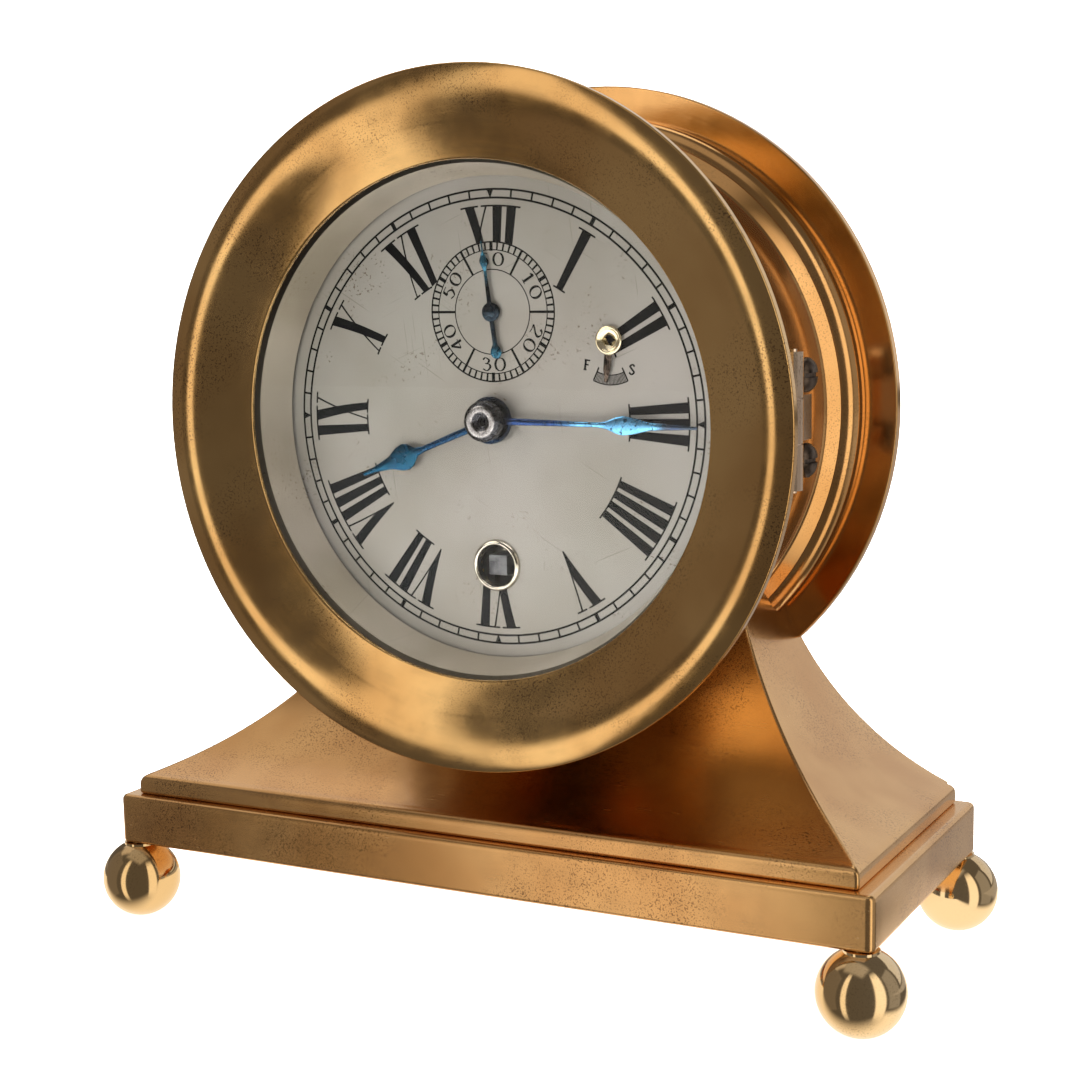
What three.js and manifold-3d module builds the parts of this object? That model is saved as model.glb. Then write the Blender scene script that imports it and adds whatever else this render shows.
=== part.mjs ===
// Marine clock: a spool-shaped brass case with a hinged bezel, on a flared base with ball feet.
// Millimetres. X is right seen from the front, the dial faces -Y, Z is up.
// The origin is on the table, under the middle of the four feet.

import * as THREE from 'three';
import { mergeVertices } from 'three/addons/utils/BufferGeometryUtils.js';
import Module from 'manifold-3d';

const wasm = await Module();
wasm.setup();

// Driving dimensions: the base, from the table up

const BALL_R = 8.3;
const PLINTH_W = 168;
const PLINTH_D = 69;
const PLINTH_LOW_Z = 2 * BALL_R - 0.4; // the balls' necks are this short
const PLINTH_H = 10.6;
const PLINTH_TOP_Z = PLINTH_LOW_Z + PLINTH_H;
const STEP_INSET = 3.5;
const STEP_W = PLINTH_W - 2 * STEP_INSET;
const STEP_D = PLINTH_D - 4.6;
const STEP_H = 3.6;
const STEP_TOP_Z = PLINTH_TOP_Z + STEP_H;
const CLOCK_RISE = 77.7; // from the step to the dial's centre
const CLOCK_Z = STEP_TOP_Z + CLOCK_RISE;
const FOOT_X = PLINTH_W / 2 - 3.0;
const FOOT_Y = PLINTH_D / 2 - 2.6;

const RUN_GAP = 0.3; // room round whatever turns or slides
const FIT_GAP = 0.1; // room round whatever is fastened

// Arbor positions in the dial plane: X, and Z from the dial's centre

const WINDING_DROP = 29.2;
const BARREL_AT = [0, -WINDING_DROP];
const CENTRE_AT = [0, 0];
const SECONDS_AT = [0, 21.2];
const REGULATOR_AT = [25.5, 15.8];

// Wheel counts and modules

const BARREL_TEETH = 60;
const INTERMEDIATE_LEAVES = 10;
const INTERMEDIATE_TEETH = 60;
const CENTRE_LEAVES = 10;
const CENTRE_TEETH = 60;
const THIRD_LEAVES = 8;
const THIRD_TEETH = 64;
const FOURTH_LEAVES = 8;
const FOURTH_TEETH = 64;
const ESCAPE_LEAVES = 8;
const ESCAPE_TEETH = 15;
const CANNON_LEAVES = 10;
const MINUTE_TEETH = 30;
const MINUTE_LEAVES = 8;
const HOUR_TEETH = 32;
const RATCHET_TEETH = 24;
const REGULATOR_LEAVES = 18;
const INDEX_TEETH = 43; // on the full circle; only a sector is cut
const BARREL_MODULE = 0.55;
const INTERMEDIATE_MODULE = 0.5;
const CENTRE_MODULE = 0.5;
const THIRD_MODULE = 0.45;
const FOURTH_MODULE = 0.38;
const MOTION_MODULE = 0.5;

const ESCAPE_R = 6.2;
const PALLET_REACH = 7.5;
const BALANCE_REACH = 9.6;
const BALANCE_R = 8.6;
const ESCAPE_LEAN = -20; // degrees, seen from the seconds arbor
const PALLET_LEAN = 40; // degrees, seen from the escape arbor

const deg = (a) => (a * Math.PI) / 180;
const inDegrees = (a) => (a * 180) / Math.PI;

function centreDistance(module, teethA, teethB) {
  return (module * (teethA + teethB)) / 2;
}

function reach(from, distance, angle) {
  return [from[0] + distance * Math.cos(angle), from[1] + distance * Math.sin(angle)];
}

function bearing(from, to) {
  return Math.atan2(to[1] - from[1], to[0] - from[0]);
}

// The point at distance ra from a and rb from b, on the given side of the line from a to b
function meetingPoint(a, ra, b, rb, side) {
  const span = Math.hypot(b[0] - a[0], b[1] - a[1]);
  const along = (ra * ra - rb * rb + span * span) / (2 * span);
  const off = side * Math.sqrt(ra * ra - along * along);
  const ux = (b[0] - a[0]) / span;
  const uz = (b[1] - a[1]) / span;
  return [a[0] + along * ux - off * uz, a[1] + along * uz + off * ux];
}

const INTERMEDIATE_AT = meetingPoint(
  CENTRE_AT,
  centreDistance(INTERMEDIATE_MODULE, INTERMEDIATE_TEETH, CENTRE_LEAVES),
  BARREL_AT,
  centreDistance(BARREL_MODULE, BARREL_TEETH, INTERMEDIATE_LEAVES),
  1,
);
const THIRD_AT = meetingPoint(
  CENTRE_AT,
  centreDistance(CENTRE_MODULE, CENTRE_TEETH, THIRD_LEAVES),
  SECONDS_AT,
  centreDistance(THIRD_MODULE, THIRD_TEETH, FOURTH_LEAVES),
  1,
);
const ESCAPE_AT = reach(
  SECONDS_AT,
  centreDistance(FOURTH_MODULE, FOURTH_TEETH, ESCAPE_LEAVES),
  deg(ESCAPE_LEAN),
);
const PALLET_AT = reach(ESCAPE_AT, PALLET_REACH, deg(PALLET_LEAN));
const BALANCE_AT = reach(PALLET_AT, BALANCE_REACH, deg(PALLET_LEAN));
const MINUTE_AT = reach(
  CENTRE_AT,
  centreDistance(MOTION_MODULE, CANNON_LEAVES, MINUTE_TEETH),
  deg(200),
);
const REGULATOR_SPAN = Math.hypot(
  BALANCE_AT[0] - REGULATOR_AT[0],
  BALANCE_AT[1] - REGULATOR_AT[1],
);
const REGULATOR_MODULE = (2 * REGULATOR_SPAN) / (REGULATOR_LEAVES + INDEX_TEETH);
const CLICK_AT = reach(BARREL_AT, 12.6, deg(170));
const COCK_SCREW_AT = [36.2, 17.2];

// Radii of the case and the bezel, nested from the movement outwards

const PLATE_ROOM = 3.0; // between the plates and the case
const CASE_WALL = 2.4;
const DOOR_GAP = 1.6; // between the case's reduced front and the bezel's skirt
const SKIRT_WALL = 2.4;
const PLATE_R = Math.max(
  WINDING_DROP + (BARREL_TEETH * BARREL_MODULE) / 2 + 0.3,
  Math.hypot(...BALANCE_AT) + BALANCE_R - 1.0,
);
const BORE_R = PLATE_R + PLATE_ROOM;
const SPIGOT_R = BORE_R + CASE_WALL; // reduced front of the case, which the bezel's skirt covers
const SKIRT_BORE_R = SPIGOT_R + DOOR_GAP;
const NECK_R = SKIRT_BORE_R + SKIRT_WALL; // drum between the bezel and the rear flange
const FLANGE_R = 68.8;
const BEZEL_R = 68.0;
const SEAT_R = PLATE_R - 2.8; // inner edge of the ledge that the movement stands on
const GLASS_R = SKIRT_BORE_R - 1.1;
const LIP_R = GLASS_R - 1.5; // clear opening of the bezel
const DIAL_R = SPIGOT_R - 1.0;
const DIAL_SHOWN_R = LIP_R - 2.8;
const LARGE_STEPS = 38; // facets round the case and the bezel

// Depths along Y, from the bezel's crest to the case's rear

const LIP_Y = -27.5;
const RIM_Y = LIP_Y - 5.1; // plane of the bezel's widest edge
const CREST_Y = RIM_Y - 2.4;
const SKIRT_END_Y = -5.2;
const NECK_START_Y = SKIRT_END_Y + RUN_GAP;
const REAR_Y = 33.0;
const GLASS_THICK = 1.7;
const GLASS_Y = [LIP_Y + 0.6, LIP_Y + 0.6 + GLASS_THICK];
const RING_FLANGE_Y = GLASS_Y[1] + 0.9;
const DIAL_FACE_Y = -16.2;
const DIAL_THICK = 1.2;
const DIAL_BACK_Y = DIAL_FACE_Y + DIAL_THICK;
const RING_END_Y = DIAL_FACE_Y - 0.6;
const SECONDS_HAND_Y = [DIAL_FACE_Y - 1.0, DIAL_FACE_Y - 0.6];
const HOUR_HAND_Y = [DIAL_FACE_Y - 2.0, DIAL_FACE_Y - 1.5];
const MINUTE_HAND_Y = [DIAL_FACE_Y - 3.2, DIAL_FACE_Y - 2.7];
const NUT_FACE_Y = MINUTE_HAND_Y[0] - 2.8;

const PLATE_THICK = 2.0;
const PLATE_SPACE = 19.0; // clear room between the two plates
const FRONT_PLATE_Y = [DIAL_BACK_Y + 6.6, DIAL_BACK_Y + 6.6 + PLATE_THICK];
const BACK_PLATE_Y = [FRONT_PLATE_Y[1] + PLATE_SPACE, FRONT_PLATE_Y[1] + PLATE_SPACE + PLATE_THICK];
const PIVOT_R = 0.6;
const ARBOR_R = 1.1;

// A layer of the movement, measured back from the front plate's inner face
function layer(from, to) {
  return [FRONT_PLATE_Y[1] + from, FRONT_PLATE_Y[1] + to];
}

// A layer under the dial, measured forward from the front plate's outer face
function frontLayer(from, to) {
  return [FRONT_PLATE_Y[0] - from, FRONT_PLATE_Y[0] - to];
}

// Hinge

const HINGE_X = NECK_R + 2.5;
const HINGE_Y = SKIRT_END_Y + 0.8;
const KNUCKLE_R = 2.0;
const HINGE_HALF = 13.2;
const MIDDLE_HALF = 4.2;
const HINGE_PIN_R = 0.8;
const LEAF_OUT_X = NECK_R + 1.9;
const LEAF_IN_X = NECK_R - 5.4;
const HINGE_SCREWS_Z = [8.3, -8.3];
const HINGE_SCREW_Y = HINGE_Y + 8.6;
const HINGE_SCREW_R = 1.0;
const HINGE_SCREW_END_X = NECK_R - 3.9;

const PILLARS_AT = [-144.3, -35.7, 135, 73.9].map((a) => reach(CENTRE_AT, PLATE_R - 6.5, deg(a)));

// Solid helpers

function meshToSolid(geometry) {
  const bare = new THREE.BufferGeometry();
  bare.setAttribute('position', geometry.attributes.position.clone());
  if (geometry.index) {
    bare.setIndex(geometry.index.clone());
  }
  const merged = mergeVertices(bare, 1e-4);
  const index = merged.index.array;
  const pos = merged.attributes.position;
  const kept = [];
  let volume = 0;
  const a = new THREE.Vector3();
  const b = new THREE.Vector3();
  const c = new THREE.Vector3();
  for (let i = 0; i < index.length; i += 3) {
    const [p, q, r] = [index[i], index[i + 1], index[i + 2]];
    if (p === q || q === r || r === p) {
      continue;
    }
    kept.push(p, q, r);
    a.fromBufferAttribute(pos, p);
    b.fromBufferAttribute(pos, q);
    c.fromBufferAttribute(pos, r);
    volume += a.dot(b.cross(c)) / 6;
  }
  if (volume < 0) {
    kept.reverse();
  }
  const mesh = new wasm.Mesh({
    numProp: 3,
    vertProperties: new Float32Array(pos.array),
    triVerts: new Uint32Array(kept),
  });
  return new wasm.Manifold(mesh);
}

function solidToMesh(solid) {
  const mesh = solid.getMesh();
  const geometry = new THREE.BufferGeometry();
  geometry.setAttribute('position', new THREE.BufferAttribute(new Float32Array(mesh.vertProperties), 3));
  geometry.setIndex(new THREE.BufferAttribute(new Uint32Array(mesh.triVerts), 1));
  geometry.computeVertexNormals();
  return geometry;
}

function join(...solids) {
  return solids.reduce((whole, piece) => whole.add(piece));
}

function cut(solid, ...tools) {
  return tools.reduce((whole, piece) => whole.subtract(piece), solid);
}

// A turned solid about an axis parallel to Y through (x, z); the profile lists [radius, y]
function turned(profile, steps = LARGE_STEPS, at = [0, 0], lift = CLOCK_Z) {
  const points = profile.map(([r, y]) => new THREE.Vector2(Math.max(r, 0), y));
  const onAxis = profile[0][0] === 0 && profile[profile.length - 1][0] === 0;
  if (!onAxis) {
    points.push(points[0].clone());
  }
  const geometry = new THREE.LatheGeometry(points, steps);
  geometry.translate(at[0], 0, at[1] + lift);
  return meshToSolid(geometry);
}

function rod(radius, y0, y1, steps = 10, at = [0, 0]) {
  return turned([[0, y0], [radius, y0], [radius, y1], [0, y1]], steps, at);
}

function tube(outer, inner, y0, y1, steps = 16, at = [0, 0]) {
  return turned([[outer, y0], [outer, y1], [inner, y1], [inner, y0]], steps, at);
}

function circlePoints(radius, steps, at = [0, 0]) {
  const points = [];
  for (let i = 0; i < steps; i += 1) {
    points.push(reach(at, radius, (2 * Math.PI * i) / steps));
  }
  return points;
}

// A flat piece: an outline in X and Z, and its holes, from y0 to y1
function flat(outline, holes, y0, y1, at = [0, 0], lift = CLOCK_Z) {
  const shape = new THREE.Shape(outline.map(([x, z]) => new THREE.Vector2(x, z)));
  holes.forEach((hole) => {
    shape.holes.push(new THREE.Path(hole.map(([x, z]) => new THREE.Vector2(x, z))));
  });
  const geometry = new THREE.ExtrudeGeometry(shape, { depth: y1 - y0, bevelEnabled: false });
  geometry.rotateX(Math.PI / 2);
  geometry.translate(at[0], y1, at[1] + lift);
  return meshToSolid(geometry);
}

function block(x0, x1, y0, y1, z0, z1) {
  const geometry = new THREE.BoxGeometry(x1 - x0, y1 - y0, z1 - z0);
  geometry.translate((x0 + x1) / 2, (y0 + y1) / 2, (z0 + z1) / 2);
  return meshToSolid(geometry);
}

// A turned solid about a vertical axis; the profile lists [radius, z]
function turnedUpright(profile, steps, x, y) {
  const points = profile.map(([r, z]) => new THREE.Vector2(r, z));
  const geometry = new THREE.LatheGeometry(points, steps);
  geometry.rotateX(Math.PI / 2);
  geometry.translate(x, y, 0);
  return meshToSolid(geometry);
}

// A turned solid about an axis parallel to X; the profile lists [radius, x]
function turnedAcross(profile, steps, y, z) {
  const points = profile.map(([r, x]) => new THREE.Vector2(r, x));
  const geometry = new THREE.LatheGeometry(points, steps);
  geometry.rotateZ(-Math.PI / 2);
  geometry.translate(0, y, z);
  return meshToSolid(geometry);
}

// Points on an arc from angle a0 to a1 in degrees, as [radius, y] or [x, z] pairs
function arc(cx, cy, radius, a0, a1, steps) {
  const points = [];
  for (let i = 0; i <= steps; i += 1) {
    const a = deg(a0 + ((a1 - a0) * i) / steps);
    points.push([cx + radius * Math.cos(a), cy + radius * Math.sin(a)]);
  }
  return points;
}

// Wheels

// Teeth as slender points; share is the part of the pitch that a tooth's foot takes
function toothOutline(teeth, rootR, tipR, phase, share) {
  const points = [];
  const half = (share * Math.PI) / teeth;
  for (let k = 0; k < teeth; k += 1) {
    const middle = phase + (2 * Math.PI * k) / teeth;
    points.push([rootR * Math.cos(middle - half), rootR * Math.sin(middle - half)]);
    points.push([tipR * Math.cos(middle), tipR * Math.sin(middle)]);
    if (share < 1) {
      points.push([rootR * Math.cos(middle + half), rootR * Math.sin(middle + half)]);
    }
  }
  return points;
}

function wheelOutline(teeth, module, phase) {
  const pitchR = (teeth * module) / 2;
  return toothOutline(teeth, pitchR - 1.25 * module, pitchR + 0.9 * module, phase, 1);
}

function pinionOutline(leaves, module, phase) {
  const pitchR = (leaves * module) / 2;
  return toothOutline(leaves, pitchR - 1.3 * module, pitchR + 0.9 * module, phase, 1);
}

// Phase that puts a tooth of the wheel on the line to its mate
function toothToward(from, to) {
  return bearing(from, to);
}

// Phase that puts a gap of the pinion on the same line
function gapToward(from, to, leaves) {
  return bearing(from, to) + Math.PI / leaves;
}

function spokeWindows(count, innerR, outerR, spokeHalf) {
  const windows = [];
  for (let k = 0; k < count; k += 1) {
    const a0 = (360 * k) / count;
    const a1 = (360 * (k + 1)) / count;
    const outerTrim = (spokeHalf / outerR) * (180 / Math.PI);
    const innerTrim = (spokeHalf / innerR) * (180 / Math.PI);
    const outer = arc(0, 0, outerR, a0 + outerTrim, a1 - outerTrim, count > 2 ? 3 : 8);
    const inner = arc(0, 0, innerR, a1 - innerTrim, a0 + innerTrim, count > 2 ? 1 : 3);
    windows.push([...outer, ...inner]);
  }
  return windows;
}

function spokedWheel(teeth, module, phase, y0, y1, at, hubR) {
  const rimR = (teeth * module) / 2 - 1.25 * module - 1.5;
  return flat(wheelOutline(teeth, module, phase), spokeWindows(4, hubR, rimR, 0.7), y0, y1, at);
}

function pinion(leaves, module, phase, y0, y1, at) {
  return flat(pinionOutline(leaves, module, phase), [], y0, y1, at);
}

// A train arbor with a pivot in each plate
function arbor(at, frontY = FRONT_PLATE_Y[0] + RUN_GAP) {
  const profile = [
    [0, frontY],
    [PIVOT_R, frontY],
    [PIVOT_R, FRONT_PLATE_Y[1] + 0.5],
    [ARBOR_R, FRONT_PLATE_Y[1] + 0.5],
    [ARBOR_R, BACK_PLATE_Y[0] - 0.5],
    [PIVOT_R, BACK_PLATE_Y[0] - 0.5],
    [PIVOT_R, BACK_PLATE_Y[1] - RUN_GAP],
    [0, BACK_PLATE_Y[1] - RUN_GAP],
  ];
  return turned(profile, 8, at);
}

// A dome-headed screw along Y, its head towards -Y when facing is -1
function screwAlongY(at, seatY, facing, headR, headH, shankR, length, lift = CLOCK_Z) {
  const head = [
    [headR, seatY],
    [headR * 0.9, seatY + facing * headH * 0.6],
    [0, seatY + facing * headH],
  ];
  const end = seatY - facing * length;
  const profile = [[0, end], [shankR, end], [shankR, seatY], ...head];
  const body = turned(profile, 10, at, lift);
  const z = at[1] + lift;
  const slotY = [seatY + facing * headH * 0.45, seatY + facing * (headH + 1)];
  const slot = block(
    at[0] - headR - 1,
    at[0] + headR + 1,
    Math.min(...slotY),
    Math.max(...slotY),
    z - headR * 0.13,
    z + headR * 0.13,
  );
  return cut(body, slot);
}

// Base

const FOOT_PAD_R = 1.6; // the worn flat that each ball stands on
const FOOT_NECK_R = 3.4;
const FOOT_STUD_R = 2.0;
const FOOT_STUD_TOP_Z = PLINTH_LOW_Z + 5.8;

function ballFoot(x, y) {
  const padAngle = Math.asin(FOOT_PAD_R / BALL_R);
  const padDrop = BALL_R * Math.cos(padAngle);
  const profile = [[0, 0]];
  const neckAngle = Math.PI - Math.asin(FOOT_NECK_R / BALL_R);
  const steps = 7;
  for (let i = 0; i <= steps; i += 1) {
    const a = padAngle + ((neckAngle - padAngle) * i) / steps;
    profile.push([BALL_R * Math.sin(a), padDrop - BALL_R * Math.cos(a)]);
  }
  profile.push([FOOT_NECK_R, PLINTH_LOW_Z]);
  profile.push([FOOT_STUD_R, PLINTH_LOW_Z]);
  profile.push([FOOT_STUD_R, FOOT_STUD_TOP_Z]);
  profile.push([0, FOOT_STUD_TOP_Z]);
  return turnedUpright(profile, 16, x, y);
}

// A rectangular slab whose edges are eased by small curves; levels list [inset, z]
function slab(width, depth, levels) {
  return loft(levels.map(([inset, z]) => [
    -width / 2 + inset, width / 2 - inset, -depth / 2 + inset, depth / 2 - inset, z,
  ]), 1.2);
}

// Rings of eased rectangles, each [x0, x1, y0, y1, z], skinned and capped
function loft(levels, cornerR) {
  const positions = [];
  const index = [];
  const corner = 2;
  const ring = 4 * (corner + 1);
  levels.forEach(([x0, x1, y0, y1, z]) => {
    const corners = [[x1, y1, 0], [x0, y1, 90], [x0, y0, 180], [x1, y0, 270]];
    corners.forEach(([x, y, start]) => {
      const cx = x - Math.sign(x - (x0 + x1) / 2) * cornerR;
      const cy = y - Math.sign(y - (y0 + y1) / 2) * cornerR;
      for (let k = 0; k <= corner; k += 1) {
        const a = deg(start + (90 * k) / corner);
        positions.push(cx + cornerR * Math.cos(a), cy + cornerR * Math.sin(a), z);
      }
    });
  });
  for (let level = 0; level < levels.length - 1; level += 1) {
    for (let k = 0; k < ring; k += 1) {
      const a = level * ring + k;
      const b = level * ring + ((k + 1) % ring);
      index.push(a, b, b + ring, a, b + ring, a + ring);
    }
  }
  const last = (levels.length - 1) * ring;
  for (let k = 1; k < ring - 1; k += 1) {
    index.push(0, k + 1, k);
    index.push(last, last + k, last + k + 1);
  }
  const geometry = new THREE.BufferGeometry();
  geometry.setAttribute('position', new THREE.Float32BufferAttribute(positions, 3));
  geometry.setIndex(index);
  return meshToSolid(geometry);
}

const BASE_WALL = 6.0;
const WINDOW_X = PLINTH_W / 2 - 30; // half of the plinth's open middle
const WINDOW_Y = PLINTH_D / 2 - 12.5;
const HOLLOW_TOP_Z = CLOCK_Z - NECK_R - 8.7;
const FLARE_TOP_Z = CLOCK_Z - 28.1; // the flare ends here, inside the case's outline
const FLARE_TOP_HALF = 39.2; // half of the flare's width there
const FLARE_TOP_BACK = 11.2; // its front face stands this far behind the middle there
const FLARE_SIDE_R = 67.1;
const FLARE_FRONT_R = 59.2;
const BASE_REAR_Y = STEP_D / 2 - 0.1;
const BASE_SCREWS_X = WINDOW_X + 4.0;
const CASE_SCREWS_X = 16;
const CASE_SCREW_Y = 11;
const CASE_SCREW_LENGTH = 14;
const SCREW_R = 1.5; // shank of the four screws in the base
const SCREW_HEAD_R = 2.9;
const SCREW_HEAD_H = 1.9;
const SCREW_SUNK = 3.0; // depth of the plinth's counterbore

const SIDE_CENTRE = meetingPoint(
  [STEP_W / 2, STEP_TOP_Z], FLARE_SIDE_R, [FLARE_TOP_HALF, FLARE_TOP_Z], FLARE_SIDE_R, -1,
);
const FRONT_CENTRE = meetingPoint(
  [STEP_D / 2, STEP_TOP_Z], FLARE_FRONT_R, [-FLARE_TOP_BACK, FLARE_TOP_Z], FLARE_FRONT_R, -1,
);

// How far a hollow flare stands out at a height: its circle's centre lies outside the base
function flareReach(centre, radius, z) {
  return centre[0] - Math.sqrt(radius * radius - (centre[1] - z) ** 2);
}

function sideHalf(z) {
  return flareReach(SIDE_CENTRE, FLARE_SIDE_R, z);
}

function frontY(z) {
  return -flareReach(FRONT_CENTRE, FLARE_FRONT_R, z);
}

// A slotted screw that stands upright, its head hanging under seatZ
function screwUpright(x, y, seatZ, length) {
  const body = turnedUpright([
    [0, seatZ - SCREW_HEAD_H],
    [SCREW_HEAD_R - 0.7, seatZ - SCREW_HEAD_H + 0.2],
    [SCREW_HEAD_R, seatZ - SCREW_HEAD_H + 1.0],
    [SCREW_HEAD_R, seatZ],
    [SCREW_R, seatZ],
    [SCREW_R, seatZ + length],
    [0, seatZ + length],
  ], 10, x, y);
  const slotEnd = SCREW_HEAD_R + 1;
  const slot = block(x - slotEnd, x + slotEnd, y - 0.4, y + 0.4, seatZ - SCREW_HEAD_H - 1, seatZ - 1.0);
  return cut(body, slot);
}

// The clear hole of such a screw
function screwHole(x, y, z0, z1) {
  const r = SCREW_R + FIT_GAP;
  return turnedUpright([[0, z0], [r, z0], [r, z1], [0, z1]], 10, x, y);
}

function basePlinth() {
  const body = slab(PLINTH_W, PLINTH_D, [
    [0.8, PLINTH_LOW_Z],
    [0.2, PLINTH_LOW_Z + 0.3],
    [0, PLINTH_LOW_Z + 0.9],
    [0, PLINTH_TOP_Z - 1.3],
    [0.3, PLINTH_TOP_Z - 0.6],
    [1.2, PLINTH_TOP_Z],
  ]);
  const window = block(-WINDOW_X, WINDOW_X, -WINDOW_Y, WINDOW_Y, PLINTH_LOW_Z - 1, PLINTH_TOP_Z + 1);
  const holes = [];
  for (const x of [-FOOT_X, FOOT_X]) {
    for (const y of [-FOOT_Y, FOOT_Y]) {
      holes.push(turnedUpright([
        [0, PLINTH_LOW_Z - 1],
        [FOOT_STUD_R + FIT_GAP, PLINTH_LOW_Z - 1],
        [FOOT_STUD_R + FIT_GAP, FOOT_STUD_TOP_Z + FIT_GAP],
        [0, FOOT_STUD_TOP_Z + FIT_GAP],
      ], 12, x, y));
    }
  }
  for (const x of [-BASE_SCREWS_X, BASE_SCREWS_X]) {
    const sinkR = SCREW_HEAD_R + RUN_GAP;
    holes.push(screwHole(x, 0, PLINTH_LOW_Z - 1, PLINTH_TOP_Z + 1));
    holes.push(turnedUpright([
      [0, PLINTH_LOW_Z - 1],
      [sinkR, PLINTH_LOW_Z - 1],
      [sinkR, PLINTH_LOW_Z + SCREW_SUNK],
      [0, PLINTH_LOW_Z + SCREW_SUNK],
    ], 10, x, 0));
  }
  return cut(body, window, ...holes);
}

const BASE_SCREW_LENGTH = PLINTH_H - SCREW_SUNK + 6;

function baseScrew(x) {
  return screwUpright(x, 0, PLINTH_LOW_Z + SCREW_SUNK, BASE_SCREW_LENGTH);
}

function caseBlank() {
  return turned(caseOutline().concat([[0, REAR_Y], [0, NECK_START_Y]]).reverse(), LARGE_STEPS);
}

function basePedestal() {
  const flareSteps = 10;
  const edge = 0.9; // the step's eased lower edge
  const levels = [
    [-STEP_W / 2 + edge, STEP_W / 2 - edge, -STEP_D / 2 + edge, STEP_D / 2 - edge, PLINTH_TOP_Z],
    [-STEP_W / 2, STEP_W / 2, -STEP_D / 2, STEP_D / 2, PLINTH_TOP_Z + edge],
    [-STEP_W / 2, STEP_W / 2, -STEP_D / 2, STEP_D / 2, STEP_TOP_Z - 0.7],
  ];
  for (let i = 0; i <= flareSteps; i += 1) {
    const t = i / flareSteps;
    const z = STEP_TOP_Z + (FLARE_TOP_Z - STEP_TOP_Z) * t * (0.45 + 0.55 * t);
    levels.push([-sideHalf(z), sideHalf(z), frontY(z), BASE_REAR_Y, z]);
  }
  const body = loft(levels, 0.6);
  const inner = [];
  const hollowSteps = 5;
  for (let i = 0; i <= hollowSteps; i += 1) {
    const z = PLINTH_TOP_Z - 1 + ((HOLLOW_TOP_Z - PLINTH_TOP_Z + 1) * i) / hollowSteps;
    const walled = Math.max(z, STEP_TOP_Z) + BASE_WALL;
    const side = Math.min(sideHalf(walled) - 1, WINDOW_X);
    const front = Math.max(frontY(walled) + 2, -WINDOW_Y);
    inner.push([-side, side, front, Math.min(BASE_REAR_Y - BASE_WALL, WINDOW_Y), z]);
  }
  const hollow = loft(inner, 1.5);
  const holes = [];
  const baseScrewTop = PLINTH_LOW_Z + SCREW_SUNK + BASE_SCREW_LENGTH;
  for (const x of [-BASE_SCREWS_X, BASE_SCREWS_X]) {
    holes.push(screwHole(x, 0, PLINTH_TOP_Z - 1, baseScrewTop + RUN_GAP));
  }
  for (const x of [-CASE_SCREWS_X, CASE_SCREWS_X]) {
    holes.push(screwHole(x, CASE_SCREW_Y, HOLLOW_TOP_Z - 4, CLOCK_Z));
  }
  return cut(body, hollow, caseBlank(), ...holes);
}

function caseScrew(x) {
  return screwUpright(x, CASE_SCREW_Y, HOLLOW_TOP_Z, CASE_SCREW_LENGTH);
}

// Case

const BEAD_Y = 16.2; // middle of the bead where the cove starts
const BEAD_R = 3.9;
const COVE_HOLLOW = 0.26; // share of the cove's rise that its curve takes early
const FLANGE_FRONT_Y = REAR_Y - 2.4;
const FLANGE_EDGE = 0.6;

// Points on a quadratic curve between two [radius, y] points, bent towards a third
function bend(from, towards, to, steps) {
  const curve = new THREE.QuadraticBezierCurve(
    new THREE.Vector2(...from), new THREE.Vector2(...towards), new THREE.Vector2(...to),
  );
  return curve.getPoints(steps).map((p) => [p.x, p.y]);
}

// The case's outside from the neck's front edge to the rear edge of its flange
function caseOutline() {
  const coveStart = [NECK_R + 4.5, BEAD_Y + 3.0];
  const coveBend = [coveStart[0] + COVE_HOLLOW * (FLANGE_R - coveStart[0]), FLANGE_FRONT_Y - 3.6];
  return [
    [NECK_R, NECK_START_Y],
    [NECK_R, BEAD_Y - 4.2],
    ...arc(NECK_R + 0.2, BEAD_Y, BEAD_R, -75, 0, 3),
    [NECK_R + 3.8, BEAD_Y + 2.6],
    ...bend(coveStart, coveBend, [FLANGE_R, FLANGE_FRONT_Y], 4),
    [FLANGE_R, REAR_Y - FLANGE_EDGE],
    [FLANGE_R - FLANGE_EDGE, REAR_Y],
  ];
}

const COVER_R = FLANGE_R - 9.1;
const COVER_SEAT_Y = REAR_Y - 1.6;
const COVER_SCREW_R = (BORE_R + COVER_R) / 2;
const COVER_SCREW_SHANK_R = 1.0;
const COVER_SCREW_LENGTH = 6.0;
const COVER_SCREW_ANGLES = [90, 210, 330];
const SEAT_SCREW_R = PLATE_R - 1.4;
const SEAT_SCREW_SHANK_R = 0.8;
const SEAT_SCREW_LENGTH = 4.6;
const SEAT_SCREW_ANGLES = [0, 180];
const SEAT_THICK = 3.0;

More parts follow.
